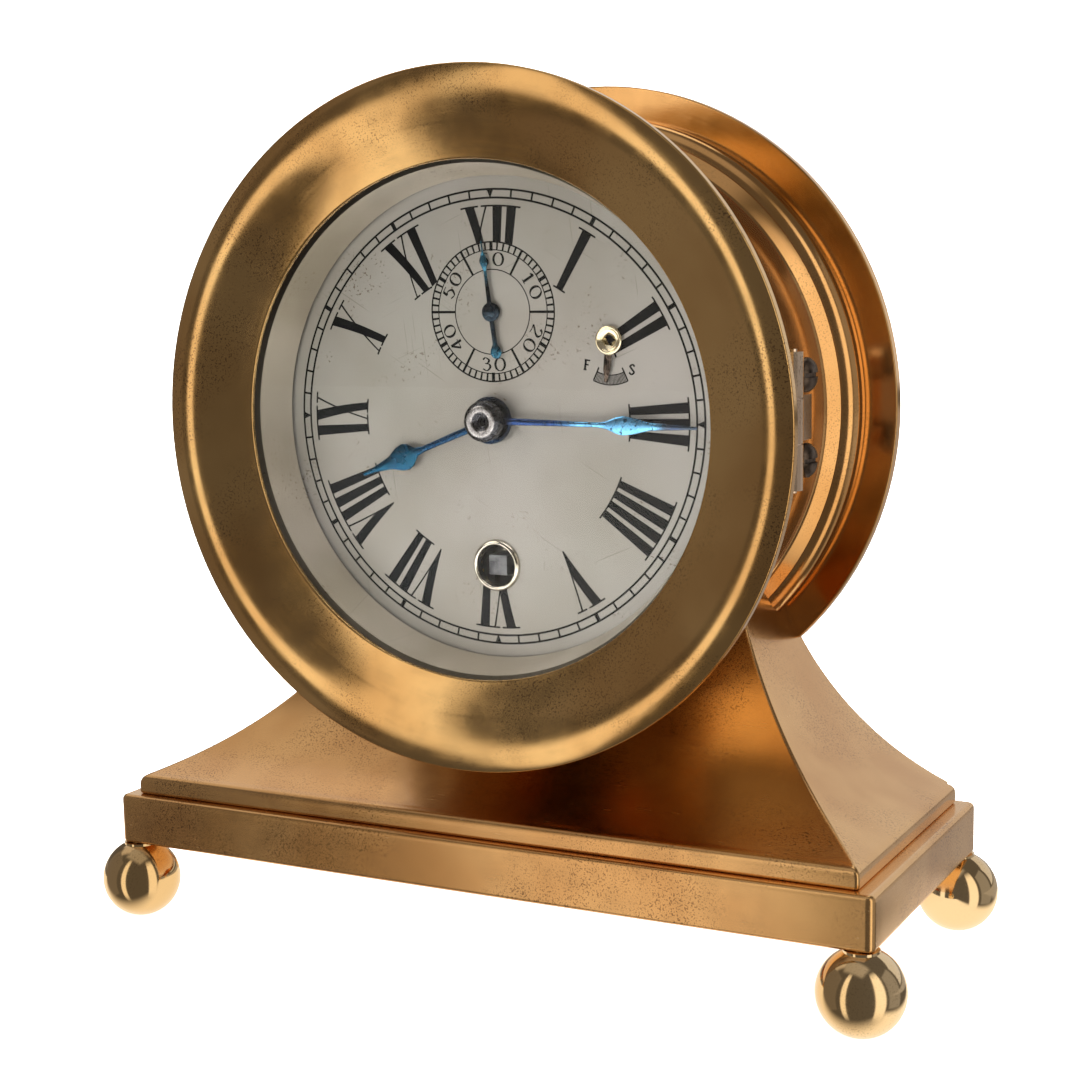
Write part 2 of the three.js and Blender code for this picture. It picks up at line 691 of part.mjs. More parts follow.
function caseBody() {
  const seatBackY = FRONT_PLATE_Y[1] + SEAT_THICK;
  const profile = [
    [SPIGOT_R, DIAL_BACK_Y],
    [SPIGOT_R, NECK_START_Y],
    ...caseOutline(),
    [COVER_R + FIT_GAP, REAR_Y],
    [COVER_R + FIT_GAP, COVER_SEAT_Y],
    [BORE_R, COVER_SEAT_Y],
    [BORE_R, seatBackY],
    [SEAT_R, seatBackY],
    [SEAT_R, FRONT_PLATE_Y[1]],
    [BORE_R, FRONT_PLATE_Y[1]],
    [BORE_R, DIAL_BACK_Y],
  ];
  const body = turned(profile);
  const holes = COVER_SCREW_ANGLES.map((a) => rod(
    COVER_SCREW_SHANK_R + FIT_GAP,
    REAR_Y - COVER_SCREW_LENGTH - 0.6,
    COVER_SEAT_Y + 1,
    8,
    reach([0, 0], COVER_SCREW_R, deg(a)),
  ));
  SEAT_SCREW_ANGLES.forEach((a) => {
    const at = reach([0, 0], SEAT_SCREW_R, deg(a));
    holes.push(rod(SEAT_SCREW_SHANK_R + FIT_GAP, FRONT_PLATE_Y[1] - 1, seatBackY + 1, 8, at));
  });
  for (const x of [-CASE_SCREWS_X, CASE_SCREWS_X]) {
    const top = HOLLOW_TOP_Z + CASE_SCREW_LENGTH + RUN_GAP;
    holes.push(screwHole(x, CASE_SCREW_Y, HOLLOW_TOP_Z - 4, top));
  }
  return cut(body, ...holes, ...hingeScrewHoles());
}

function rearCover() {
  const profile = [
    [0, COVER_SEAT_Y],
    [COVER_R, COVER_SEAT_Y],
    [COVER_R, REAR_Y - 0.4],
    [COVER_R - 0.5, REAR_Y],
    [0, REAR_Y],
  ];
  const holes = COVER_SCREW_ANGLES.map((a) => {
    const at = reach([0, 0], COVER_SCREW_R, deg(a));
    return rod(COVER_SCREW_SHANK_R + FIT_GAP, COVER_SEAT_Y - 1, REAR_Y + 1, 8, at);
  });
  return cut(turned(profile), ...holes);
}

function rearScrew(angle) {
  const at = reach([0, 0], COVER_SCREW_R, deg(angle));
  return screwAlongY(at, REAR_Y, 1, 2.6, 1.3, COVER_SCREW_SHANK_R, COVER_SCREW_LENGTH);
}

function seatScrew(angle) {
  const at = reach([0, 0], SEAT_SCREW_R, deg(angle));
  return screwAlongY(at, FRONT_PLATE_Y[0], -1, 1.8, 1.1, SEAT_SCREW_SHANK_R, SEAT_SCREW_LENGTH);
}

function latchSpring() {
  const thick = 0.7;
  const half = 6;
  const y0 = DIAL_BACK_Y + 2.5;
  const plate = block(-SPIGOT_R - thick, -SPIGOT_R + 1.5, y0, y0 + 5, CLOCK_Z - half, CLOCK_Z + half);
  return cut(plate, rod(SPIGOT_R, DIAL_BACK_Y - 1, 0, LARGE_STEPS));
}

// Bezel, glass and reflector

function bezel() {
  const beadR = LIP_R + 1.8;
  const rollR = BEZEL_R - 2.8; // crest of the rolled rim
  const profile = [
    [LIP_R, GLASS_Y[0]],
    [LIP_R, LIP_Y],
    [beadR - 1.0, LIP_Y - 1.2],
    [beadR, LIP_Y - 1.5],
    [beadR + 0.8, LIP_Y - 1.1],
    ...bend([beadR + 1.0, LIP_Y - 1.0], [beadR + 4.4, LIP_Y - 1.5], [rollR - 2.4, CREST_Y + 0.9], 4),
    [rollR - 2.0, CREST_Y + 1.1],
    [rollR - 1.2, CREST_Y + 0.2],
    [rollR, CREST_Y],
    [rollR + 1.4, CREST_Y + 0.5],
    [rollR + 2.4, CREST_Y + 1.4],
    [BEZEL_R, RIM_Y],
    [BEZEL_R - 0.6, RIM_Y + 1.2],
    ...bend([BEZEL_R - 3.0, RIM_Y + 1.0], [NECK_R + 3.2, LIP_Y + 0.9], [NECK_R, LIP_Y + 1.5], 3),
    [NECK_R, SKIRT_END_Y],
    [SKIRT_BORE_R, SKIRT_END_Y],
    [SKIRT_BORE_R, RING_FLANGE_Y],
    [GLASS_R + FIT_GAP, RING_FLANGE_Y],
    [GLASS_R + FIT_GAP, GLASS_Y[0]],
  ];
  return turned(profile);
}

function glass() {
  const profile = [[0, GLASS_Y[0]], [GLASS_R, GLASS_Y[0]], [GLASS_R, GLASS_Y[1]], [0, GLASS_Y[1]]];
  return turned(profile);
}

function reflectorRing() {
  const profile = [
    [LIP_R - 0.6, GLASS_Y[1]],
    [GLASS_R, GLASS_Y[1]],
    [GLASS_R, RING_FLANGE_Y],
    [LIP_R + 0.1, RING_FLANGE_Y],
    [DIAL_SHOWN_R + 0.9, RING_END_Y],
    [DIAL_SHOWN_R, RING_END_Y],
  ];
  return turned(profile);
}

// Hinge

function hingeScrewHoles() {
  const r = HINGE_SCREW_R + FIT_GAP;
  const x0 = HINGE_SCREW_END_X - RUN_GAP;
  const x1 = HINGE_X + KNUCKLE_R;
  return HINGE_SCREWS_Z.map((z) =>
    turnedAcross([[0, x0], [r, x0], [r, x1], [0, x1]], 8, HINGE_SCREW_Y, CLOCK_Z + z));
}

function knuckle(z0, z1) {
  return turnedUpright([[0, z0], [KNUCKLE_R, z0], [KNUCKLE_R, z1], [0, z1]], 16, HINGE_X, HINGE_Y);
}

function hingeBore() {
  const r = HINGE_PIN_R + FIT_GAP;
  const half = HINGE_HALF + 2;
  return turnedUpright([
    [0, CLOCK_Z - half], [r, CLOCK_Z - half], [r, CLOCK_Z + half], [0, CLOCK_Z + half],
  ], 12, HINGE_X, HINGE_Y);
}

function neckDrum() {
  return rod(NECK_R, CREST_Y, REAR_Y, LARGE_STEPS);
}

function hingeLeafBezel() {
  const gap = RUN_GAP;
  const upper = [CLOCK_Z + MIDDLE_HALF + gap, CLOCK_Z + HINGE_HALF];
  const lower = [CLOCK_Z - HINGE_HALF, CLOCK_Z - MIDDLE_HALF - gap];
  const plateEnd = HINGE_Y - KNUCKLE_R - gap;
  const low = CLOCK_Z - HINGE_HALF;
  const plate = block(LEAF_IN_X, LEAF_OUT_X, HINGE_Y - 14.6, plateEnd, low, CLOCK_Z + HINGE_HALF);
  const arms = [upper, lower].map(([z0, z1]) => join(
    block(HINGE_X - KNUCKLE_R, LEAF_OUT_X, plateEnd - 0.5, HINGE_Y, z0, z1),
    knuckle(z0, z1),
  ));
  const whole = join(plate, ...arms);
  return cut(whole, neckDrum(), hingeBore());
}

function hingeLeafCase() {
  const gap = RUN_GAP;
  const start = HINGE_Y + KNUCKLE_R + gap;
  const half = HINGE_HALF - 1;
  const earR = 3.3;
  const plate = block(LEAF_IN_X, LEAF_OUT_X, start, HINGE_Y + 6.8, CLOCK_Z - half, CLOCK_Z + half);
  const tab = block(LEAF_IN_X, LEAF_OUT_X, start, HINGE_Y + 12.4, CLOCK_Z - 4.4, CLOCK_Z + 4.4);
  const ears = HINGE_SCREWS_Z.map((z) => turnedAcross(
    [[0, LEAF_IN_X], [earR, LEAF_IN_X], [earR, LEAF_OUT_X], [0, LEAF_OUT_X]],
    16,
    HINGE_SCREW_Y,
    CLOCK_Z + z,
  ));
  const middle = [CLOCK_Z - MIDDLE_HALF, CLOCK_Z + MIDDLE_HALF];
  const arm = block(HINGE_X - KNUCKLE_R, LEAF_OUT_X, HINGE_Y, start + 0.5, ...middle);
  const whole = join(plate, tab, ...ears, arm, knuckle(...middle));
  return cut(whole, neckDrum(), hingeBore(), ...hingeScrewHoles());
}

function hingePin() {
  const half = HINGE_HALF + 0.5;
  return turnedUpright([
    [0, CLOCK_Z - half],
    [HINGE_PIN_R, CLOCK_Z - half],
    [HINGE_PIN_R, CLOCK_Z + half],
    [0, CLOCK_Z + half],
  ], 12, HINGE_X, HINGE_Y);
}

function hingeScrew(z) {
  const headX = LEAF_OUT_X;
  const body = turnedAcross([
    [0, HINGE_SCREW_END_X],
    [HINGE_SCREW_R, HINGE_SCREW_END_X],
    [HINGE_SCREW_R, headX],
    [3.4, headX],
    [3.2, headX + 0.9],
    [2.2, headX + 1.8],
    [0, headX + 2.2],
  ], 14, HINGE_SCREW_Y, CLOCK_Z + z);
  const middle = CLOCK_Z + z;
  const slot = [HINGE_SCREW_Y - 5, HINGE_SCREW_Y + 5, middle - 0.45, middle + 0.45];
  return cut(body, block(headX + 0.9, headX + 4, ...slot));
}

// Dial and hands

const COLLET_R = 5.5;
const COLLET_HOLE_R = 3.7;
const COLLET_TUBE_R = 4.5;
const HOUR_PIPE_R = [2.4, 1.8];
const CANNON_R = [1.5, 0.9];
const SHOWN_HOUR = 8.28;
const SHOWN_MINUTE = 15.1;
const SHOWN_SECOND = 58.7;
const REGULATOR_CUP_R = 2.3;
const REGULATOR_SHAFT_R = 1.4;
const REGULATOR_POINTER = 8.3;
const REGULATOR_LEAN = deg(6); // towards the fast end of its scale
const DIAL_FEET_AT = [165.6, -13, 224].map((a) => reach(CENTRE_AT, PLATE_R - 5.8, deg(a)));

function dial() {
  const holes = [
    circlePoints(HOUR_PIPE_R[0] + RUN_GAP, 16),
    circlePoints(PIVOT_R + RUN_GAP, 10, SECONDS_AT),
    circlePoints(REGULATOR_SHAFT_R + RUN_GAP, 12, REGULATOR_AT),
    circlePoints(COLLET_TUBE_R + FIT_GAP, 20, BARREL_AT),
  ];
  const plate = flat(circlePoints(DIAL_R, LARGE_STEPS), holes, DIAL_FACE_Y, DIAL_BACK_Y);
  const feet = DIAL_FEET_AT.map((at) => rod(1.2, DIAL_BACK_Y - 0.5, FRONT_PLATE_Y[0], 8, at));
  return join(plate, ...feet);
}

function windingCollet() {
  const profile = [
    [COLLET_HOLE_R, DIAL_BACK_Y],
    [COLLET_HOLE_R, DIAL_FACE_Y - 0.5],
    [COLLET_HOLE_R + 0.5, DIAL_FACE_Y - 0.85],
    [COLLET_R - 0.4, DIAL_FACE_Y - 0.6],
    [COLLET_R, DIAL_FACE_Y],
    [COLLET_TUBE_R, DIAL_FACE_Y],
    [COLLET_TUBE_R, DIAL_BACK_Y],
  ];
  return turned(profile, 20, BARREL_AT);
}

// A hand's outline drawn pointing up, turned clockwise to the given dial angle
function handOutline(halves, angle) {
  const left = halves.map(([w, z]) => [-w, z]);
  const right = halves.filter(([w]) => w > 0).map(([w, z]) => [w, z]).reverse();
  const c = Math.cos(-angle);
  const s = Math.sin(-angle);
  return [...right.reverse(), ...left.reverse()].map(([x, z]) => [x * c - z * s, x * s + z * c]);
}

function hourHand() {
  const angle = (2 * Math.PI * SHOWN_HOUR) / 12;
  const outline = handOutline([
    [0.75, 2.0], [0.6, 16.5], [0.9, 18.5], [2.2, 19.8], [2.76, 21.2], [2.4, 22.9],
    [1.3, 25.0], [0.6, 28.9], [0.3, 32.0],
  ], angle);
  const arm = flat(outline, [], ...HOUR_HAND_Y);
  const hub = rod(4.7, HOUR_HAND_Y[0] - 0.3, HOUR_HAND_Y[1], 24);
  const bore = rod(HOUR_PIPE_R[0] + 0.05, HOUR_HAND_Y[0] - 1, HOUR_HAND_Y[1] + 1, 16);
  return cut(join(arm, hub), bore);
}

function minuteHand() {
  const angle = (2 * Math.PI * SHOWN_MINUTE) / 60;
  const outline = handOutline([
    [0.7, 2.0], [0.5, 24.0], [0.8, 25.9], [1.5, 27.6], [1.9, 29.2], [1.6, 31.4],
    [0.8, 34.6], [0.3, 44.5],
  ], angle);
  const arm = flat(outline, [], ...MINUTE_HAND_Y);
  const hub = rod(3.7, MINUTE_HAND_Y[0] - 0.2, MINUTE_HAND_Y[1], 20);
  const bore = rod(CANNON_R[0] + 0.05, MINUTE_HAND_Y[0] - 1, MINUTE_HAND_Y[1] + 1, 12);
  return cut(join(arm, hub), bore);
}

const NUT_R = 4.0;

function handNut() {
  const profile = [
    [0, NUT_FACE_Y + 0.5],
    [0.9, NUT_FACE_Y + 0.5],
    [0.9, NUT_FACE_Y],
    [NUT_R - 0.6, NUT_FACE_Y],
    [NUT_R, NUT_FACE_Y + 0.6],
    [NUT_R, MINUTE_HAND_Y[0] - 0.25],
    [0, MINUTE_HAND_Y[0] - 0.25],
  ];
  return turned(profile, 20);
}

function secondsHand() {
  const angle = (2 * Math.PI * SHOWN_SECOND) / 60;
  const outline = handOutline([
    [0.4, -6.2], [0.85, -6.9], [1.0, -7.5], [0.75, -8.2], [0.3, -8.45],
  ], angle);
  const pointer = handOutline([
    [0.45, -6.6], [0.5, 0], [0.3, 8.2], [0.8, 9.6], [0.6, 10.8], [0.2, 11.8], [0.12, 14.0],
  ], angle);
  const tail = flat(outline, [], ...SECONDS_HAND_Y, SECONDS_AT);
  const arm = flat(pointer, [], ...SECONDS_HAND_Y, SECONDS_AT);
  const hub = rod(1.9, SECONDS_HAND_Y[0] - 0.15, DIAL_FACE_Y - RUN_GAP, 16, SECONDS_AT);
  const bore = rod(PIVOT_R + 0.05, SECONDS_HAND_Y[0] - 1, DIAL_BACK_Y, 10, SECONDS_AT);
  return cut(join(tail, arm, hub), bore);
}

// Plates

const PILLAR_STUD_R = 1.2;
const PILLAR_R = 2.4;
const WINDING_NECK_R = 2.4;
const BARREL_ARBOR_R = 1.8;
const COCK_SCREW_R = 0.8;
const HAIRSPRING_R = 6.2;

function plateHole(radius, at, steps = 6) {
  return circlePoints(radius, steps, at);
}

function frontPlate() {
  const pivots = [INTERMEDIATE_AT, CENTRE_AT, THIRD_AT, SECONDS_AT, ESCAPE_AT, PALLET_AT];
  const holes = pivots.map((at) => plateHole(PIVOT_R + RUN_GAP, at, 8));
  holes.push(plateHole(WINDING_NECK_R + RUN_GAP, BARREL_AT, 12));
  holes.push(plateHole(HAIRSPRING_R + 1.2, BALANCE_AT, 20));
  holes.push(plateHole(PIVOT_R + RUN_GAP, REGULATOR_AT, 8));
  holes.push(plateHole(COCK_SCREW_R + FIT_GAP, COCK_SCREW_AT, 8));
  PILLARS_AT.forEach((at) => holes.push(plateHole(PILLAR_STUD_R + FIT_GAP, at, 8)));
  SEAT_SCREW_ANGLES.forEach((a) => {
    holes.push(plateHole(SEAT_SCREW_SHANK_R + FIT_GAP, reach([0, 0], SEAT_SCREW_R, deg(a)), 8));
  });
  const plate = flat(circlePoints(PLATE_R, 36), holes, ...FRONT_PLATE_Y);
  return join(plate, clickPost(), minuteStud());
}

function backPlate() {
  const pivots = [INTERMEDIATE_AT, CENTRE_AT, THIRD_AT, SECONDS_AT, ESCAPE_AT, PALLET_AT, BALANCE_AT];
  const holes = pivots.map((at) => plateHole(PIVOT_R + RUN_GAP, at, 8));
  holes.push(plateHole(BARREL_ARBOR_R + RUN_GAP, BARREL_AT, 12));
  PILLARS_AT.forEach((at) => holes.push(plateHole(PILLAR_STUD_R + FIT_GAP, at, 8)));
  return flat(circlePoints(PLATE_R, 36), holes, ...BACK_PLATE_Y);
}

function pillar(at) {
  return turned([
    [0, FRONT_PLATE_Y[0] - 0.4],
    [PILLAR_STUD_R, FRONT_PLATE_Y[0] - 0.4],
    [PILLAR_STUD_R, FRONT_PLATE_Y[1]],
    [PILLAR_R, FRONT_PLATE_Y[1]],
    [PILLAR_R - 0.6, FRONT_PLATE_Y[1] + 3],
    [PILLAR_R - 0.6, BACK_PLATE_Y[0] - 3],
    [PILLAR_R, BACK_PLATE_Y[0]],
    [PILLAR_STUD_R, BACK_PLATE_Y[0]],
    [PILLAR_STUD_R, BACK_PLATE_Y[1] + 0.4],
    [0, BACK_PLATE_Y[1] + 0.4],
  ], 8, at);
}

// Going train

const DRUM_R = (BARREL_TEETH * BARREL_MODULE) / 2 - 1.4;
const DRUM_WALL = 0.9;
const GREAT_WHEEL_Y = [BACK_PLATE_Y[0] - 3.0, BACK_PLATE_Y[0] - 1.4];
const BARREL_CAP_Y = layer(6.6, 7.4);
const DRUM_Y = [BARREL_CAP_Y[1], GREAT_WHEEL_Y[0]];
const WINDING_SQUARE = 4.0;
const RATCHET_R = 7.6;
const RATCHET_Y = frontLayer(2.0, 0.7);
const CLICK_STUD_R = 0.75;

function barrel() {
  const phase = toothToward(BARREL_AT, INTERMEDIATE_AT);
  const bore = circlePoints(BARREL_ARBOR_R + RUN_GAP, 12);
  const wheel = flat(wheelOutline(BARREL_TEETH, BARREL_MODULE, phase), [bore], ...GREAT_WHEEL_Y, BARREL_AT);
  const drum = tube(DRUM_R, DRUM_R - DRUM_WALL, DRUM_Y[0], DRUM_Y[1] + 0.4, 24, BARREL_AT);
  return join(wheel, drum);
}

function barrelCap() {
  return tube(DRUM_R, BARREL_ARBOR_R + RUN_GAP, ...BARREL_CAP_Y, 24, BARREL_AT);
}

const CORE_R = 3.0; // the barrel arbor's core, which the mainspring winds on

function barrelArbor() {
  const neckY = [FRONT_PLATE_Y[0] - 0.6, FRONT_PLATE_Y[1] + 0.5];
  const body = turned([
    [0, neckY[0]],
    [WINDING_NECK_R, neckY[0]],
    [WINDING_NECK_R, neckY[1]],
    [BARREL_ARBOR_R, neckY[1]],
    [BARREL_ARBOR_R, DRUM_Y[0] + 1.0],
    [CORE_R, DRUM_Y[0] + 1.0],
    [CORE_R, DRUM_Y[1] - 1.0],
    [BARREL_ARBOR_R, DRUM_Y[1] - 1.0],
    [BARREL_ARBOR_R, BACK_PLATE_Y[1] - 0.2],
    [0, BACK_PLATE_Y[1] - 0.2],
  ], 14, BARREL_AT);
  const half = WINDING_SQUARE / 2;
  const z = CLOCK_Z + BARREL_AT[1];
  const square = block(-half, half, DIAL_FACE_Y + 0.4, neckY[0] + 0.1, z - half, z + half);
  return join(body, square);
}

function ratchetWheel() {
  const half = WINDING_SQUARE / 2 + 0.05;
  const hole = [[-half, -half], [half, -half], [half, half], [-half, half]];
  const outline = [];
  for (let k = 0; k < RATCHET_TEETH; k += 1) {
    const a = (2 * Math.PI * k) / RATCHET_TEETH;
    outline.push(reach([0, 0], RATCHET_R, a));
    outline.push(reach([0, 0], RATCHET_R - 1.1, a + 0.04));
  }
  return flat(outline, [hole.reverse()], ...RATCHET_Y, BARREL_AT);
}

function click() {
  const away = bearing(BARREL_AT, CLICK_AT);
  const beak = reach(BARREL_AT, RATCHET_R + 0.5, away + deg(34));
  const side = reach(BARREL_AT, RATCHET_R + 2.8, away + deg(20));
  const outline = [
    reach(CLICK_AT, 1.9, away - deg(80)),
    reach(CLICK_AT, 1.9, away - deg(20)),
    reach(CLICK_AT, 1.9, away + deg(50)),
    side,
    reach(beak, 0.9, away + deg(60)),
    beak,
    reach(BARREL_AT, RATCHET_R + 1.6, away + deg(18)),
    reach(CLICK_AT, 1.9, away + deg(200)),
  ];
  const bore = rod(CLICK_STUD_R + RUN_GAP, RATCHET_Y[0] - 1, FRONT_PLATE_Y[0], 8, CLICK_AT);
  return cut(flat(outline, [], ...frontLayer(1.8, 0.6)), bore);
}

function clickPost() {
  const shank = rod(CLICK_STUD_R, FRONT_PLATE_Y[0] - 2.2, FRONT_PLATE_Y[1], 10, CLICK_AT);
  const head = rod(1.5, FRONT_PLATE_Y[0] - 2.8, FRONT_PLATE_Y[0] - 2.1, 10, CLICK_AT);
  return join(shank, head);
}

function clickSpring() {
  const away = bearing(BARREL_AT, CLICK_AT);
  const foot = reach(BARREL_AT, 19, away - deg(22));
  const tip = reach(BARREL_AT, 15.4, away + deg(28));
  const along = bearing(foot, tip);
  const outline = [
    reach(foot, 1.4, along + deg(90)),
    reach(foot, 1.6, along + deg(180)),
    reach(foot, 1.4, along - deg(90)),
    reach(tip, 0.25, along - deg(90)),
    reach(tip, 0.25, along + deg(90)),
  ];
  return flat(outline.reverse(), [], ...frontLayer(1.6, 0));
}

function trainWheel(spec) {
  const wheel = spokedWheel(spec.teeth, spec.module, spec.phase, ...spec.wheelY, spec.at, spec.hubR);
  const leaves = pinion(spec.leaves, spec.pinionModule, spec.pinionPhase, ...spec.pinionY, spec.at);
  return join(wheel, leaves, arbor(spec.at, spec.frontY));
}

function intermediateWheel() {
  return trainWheel({
    at: INTERMEDIATE_AT,
    teeth: INTERMEDIATE_TEETH,
    module: INTERMEDIATE_MODULE,
    phase: toothToward(INTERMEDIATE_AT, CENTRE_AT),
    wheelY: layer(4.8, 6.0),
    hubR: 3,
    leaves: INTERMEDIATE_LEAVES,
    pinionModule: BARREL_MODULE,
    pinionPhase: gapToward(INTERMEDIATE_AT, BARREL_AT, INTERMEDIATE_LEAVES),
    pinionY: [GREAT_WHEEL_Y[0] - 0.6, GREAT_WHEEL_Y[1] + 0.6],
  });
}

function centreWheel() {
  return trainWheel({
    at: CENTRE_AT,
    teeth: CENTRE_TEETH,
    module: CENTRE_MODULE,
    phase: toothToward(CENTRE_AT, THIRD_AT),
    wheelY: layer(1.8, 3.0),
    hubR: 3,
    leaves: CENTRE_LEAVES,
    pinionModule: INTERMEDIATE_MODULE,
    pinionPhase: gapToward(CENTRE_AT, INTERMEDIATE_AT, CENTRE_LEAVES),
    pinionY: layer(4.2, 6.6),
    frontY: DIAL_BACK_Y + 0.6,
  });
}

function thirdWheel() {
  return trainWheel({
    at: THIRD_AT,
    teeth: THIRD_TEETH,
    module: THIRD_MODULE,
    phase: toothToward(THIRD_AT, SECONDS_AT),
    wheelY: layer(9.4, 10.6),
    hubR: 3,
    leaves: THIRD_LEAVES,
    pinionModule: CENTRE_MODULE,
    pinionPhase: gapToward(THIRD_AT, CENTRE_AT, THIRD_LEAVES),
    pinionY: layer(1.2, 3.6),
  });
}

function fourthWheel() {
  return trainWheel({
    at: SECONDS_AT,
    teeth: FOURTH_TEETH,
    module: FOURTH_MODULE,
    phase: toothToward(SECONDS_AT, ESCAPE_AT),
    wheelY: layer(13.8, 14.8),
    hubR: 2.6,
    leaves: FOURTH_LEAVES,
    pinionModule: THIRD_MODULE,
    pinionPhase: gapToward(SECONDS_AT, THIRD_AT, FOURTH_LEAVES),
    pinionY: layer(8.8, 11.2),
    frontY: SECONDS_HAND_Y[0] - 0.1,
  });
}

function escapeWheel() {
  const outline = [];
  for (let k = 0; k < ESCAPE_TEETH; k += 1) {
    const a = (2 * Math.PI * k) / ESCAPE_TEETH;
    outline.push(reach([0, 0], ESCAPE_R - 1.7, a - 0.10));
    outline.push(reach([0, 0], ESCAPE_R, a + 0.06));
    outline.push(reach([0, 0], ESCAPE_R, a + 0.10));
    outline.push(reach([0, 0], ESCAPE_R - 1.7, a + 0.10));
  }
  const wheel = flat(outline, spokeWindows(4, 1.9, ESCAPE_R - 2.5, 0.45), ...LEVER_Y, ESCAPE_AT);
  const phase = gapToward(ESCAPE_AT, SECONDS_AT, ESCAPE_LEAVES);
  const leaves = pinion(ESCAPE_LEAVES, FOURTH_MODULE, phase, ...layer(13.2, 15.4), ESCAPE_AT);
  return join(wheel, leaves, arbor(ESCAPE_AT));
}

// Escapement and regulator

const LEVER_Y = layer(10.4, 11.2);
const ROLLER_Y = layer(9.3, 10.0);
const HAIRSPRING_Y = [FRONT_PLATE_Y[0] + 1.2, FRONT_PLATE_Y[0] + 1.7];
const COCK_Y = frontLayer(2.0, 0);
const INDEX_Y = [COCK_Y[0] - 1.0, COCK_Y[0] - 0.2];
const CURB_PINS_R = 5.38; // where the regulator's two pins stand on the outer turn

// The lever, drawn with the balance to the right, then turned to lie on its line
function palletLever() {
  const half = 5.2;
  const outline = [
    [-0.7, -half - 0.1],
    [-2.5, -half - 0.1],
    [-2.55, -half + 0.7],
    [-0.6, -half + 0.9],
    [-0.7, -0.9],
    [-0.95, 0],
    [-0.7, 0.9],
    [-0.6, half - 0.9],
    [-2.55, half - 0.7],
    [-2.5, half + 0.1],
    [-0.7, half + 0.1],
    [0.6, 1.1],
    [5.7, 0.5],
    [6.4, 0.9],
    [7.4, 0.8],
    [6.5, 0.35],
    [6.5, -0.35],
    [7.4, -0.8],
    [6.4, -0.9],
    [5.7, -0.5],
    [0.6, -1.1],
  ];
  const c = Math.cos(deg(PALLET_LEAN));
  const s = Math.sin(deg(PALLET_LEAN));
  const placed = outline.map(([u, v]) => [u * c - v * s, u * s + v * c]);
  const lever = flat(placed.reverse(), [], ...LEVER_Y, PALLET_AT);
  const staff = turned([
    [0, FRONT_PLATE_Y[0] + RUN_GAP],
    [0.5, FRONT_PLATE_Y[0] + RUN_GAP],
    [0.5, BACK_PLATE_Y[1] - 0.4],
    [0, BACK_PLATE_Y[1] - 0.4],
  ], 8, PALLET_AT);
  return join(lever, staff);
}

const COLLET_OF_SPRING_R = 1.25; // the hub that the hairspring's inner end is pinned to

function balanceWheel() {
  const rim = flat(
    circlePoints(BALANCE_R, 28),
    spokeWindows(2, 1.8, BALANCE_R - 1.2, 0.6),
    ...layer(3.6, 5.2),
    BALANCE_AT,
  );
  const staff = turned([
    [0, COCK_Y[0] + 0.8],
    [PIVOT_R, COCK_Y[0] + 0.8],
    [PIVOT_R, HAIRSPRING_Y[0] - 0.4],
    [COLLET_OF_SPRING_R, HAIRSPRING_Y[0] - 0.4],
    [COLLET_OF_SPRING_R, HAIRSPRING_Y[1] + 0.5],
    [ARBOR_R, HAIRSPRING_Y[1] + 0.5],
    [ARBOR_R, ROLLER_Y[0]],
    [2.0, ROLLER_Y[0]],
    [2.0, ROLLER_Y[1]],
    [ARBOR_R, ROLLER_Y[1]],
    [ARBOR_R, BACK_PLATE_Y[0] - 0.6],
    [PIVOT_R, BACK_PLATE_Y[0] - 0.6],
    [PIVOT_R, BACK_PLATE_Y[1] - 0.4],
    [0, BACK_PLATE_Y[1] - 0.4],
  ], 10, BALANCE_AT);
  const pinAt = reach(BALANCE_AT, 1.6, deg(PALLET_LEAN + 180));
  return join(rim, staff, rod(0.25, ROLLER_Y[1] - 0.2, LEVER_Y[1] + 0.2, 6, pinAt));
}

// A flat strip wound in the dial plane, from innerR to outerR
function windStrip(innerR, outerR, turns, thick, stepsPerTurn, startAngle) {
  const steps = Math.round(turns * stepsPerTurn);
  const line = [];
  for (let i = 0; i <= steps; i += 1) {
    const t = i / steps;
    const a = startAngle + 2 * Math.PI * turns * t;
    line.push([a, innerR + (outerR - innerR) * t]);
  }
  const outer = line.map(([a, r]) => reach([0, 0], r + thick / 2, a));
  const inner = line.map(([a, r]) => reach([0, 0], r - thick / 2, a));
  return [...outer, ...inner.reverse()];
}

// Least clear distance between neighbouring turns of a wound strip, measured on its points
function leastTurnGap(outline, stepsPerTurn) {
  const count = outline.length / 2;
  const outer = outline.slice(0, count);
  const inner = outline.slice(count).reverse();
  let least = Infinity;
  for (let i = 0; i + stepsPerTurn - 1 < count; i += 1) {
    for (let k = -2; k <= 2; k += 1) {
      const j = i + stepsPerTurn + k;
      if (j < count) {
        least = Math.min(least, Math.hypot(outer[i][0] - inner[j][0], outer[i][1] - inner[j][1]));
      }
    }
  }
  return least;
}

const HAIRSPRING_TURN_STEPS = 16;
const MAINSPRING_TURN_STEPS = 14;
const HAIRSPRING_END_ANGLE = deg(-20);

function hairspring() {
  const turns = 3.5;
  const start = HAIRSPRING_END_ANGLE - 2 * Math.PI * turns;
  const inner = COLLET_OF_SPRING_R + 0.5;
  const outline = windStrip(inner, HAIRSPRING_R, turns, 0.3, HAIRSPRING_TURN_STEPS, start);
  console.log('hairspring least gap mm', leastTurnGap(outline, HAIRSPRING_TURN_STEPS).toFixed(3));
  return flat(outline, [], ...HAIRSPRING_Y, BALANCE_AT);
}

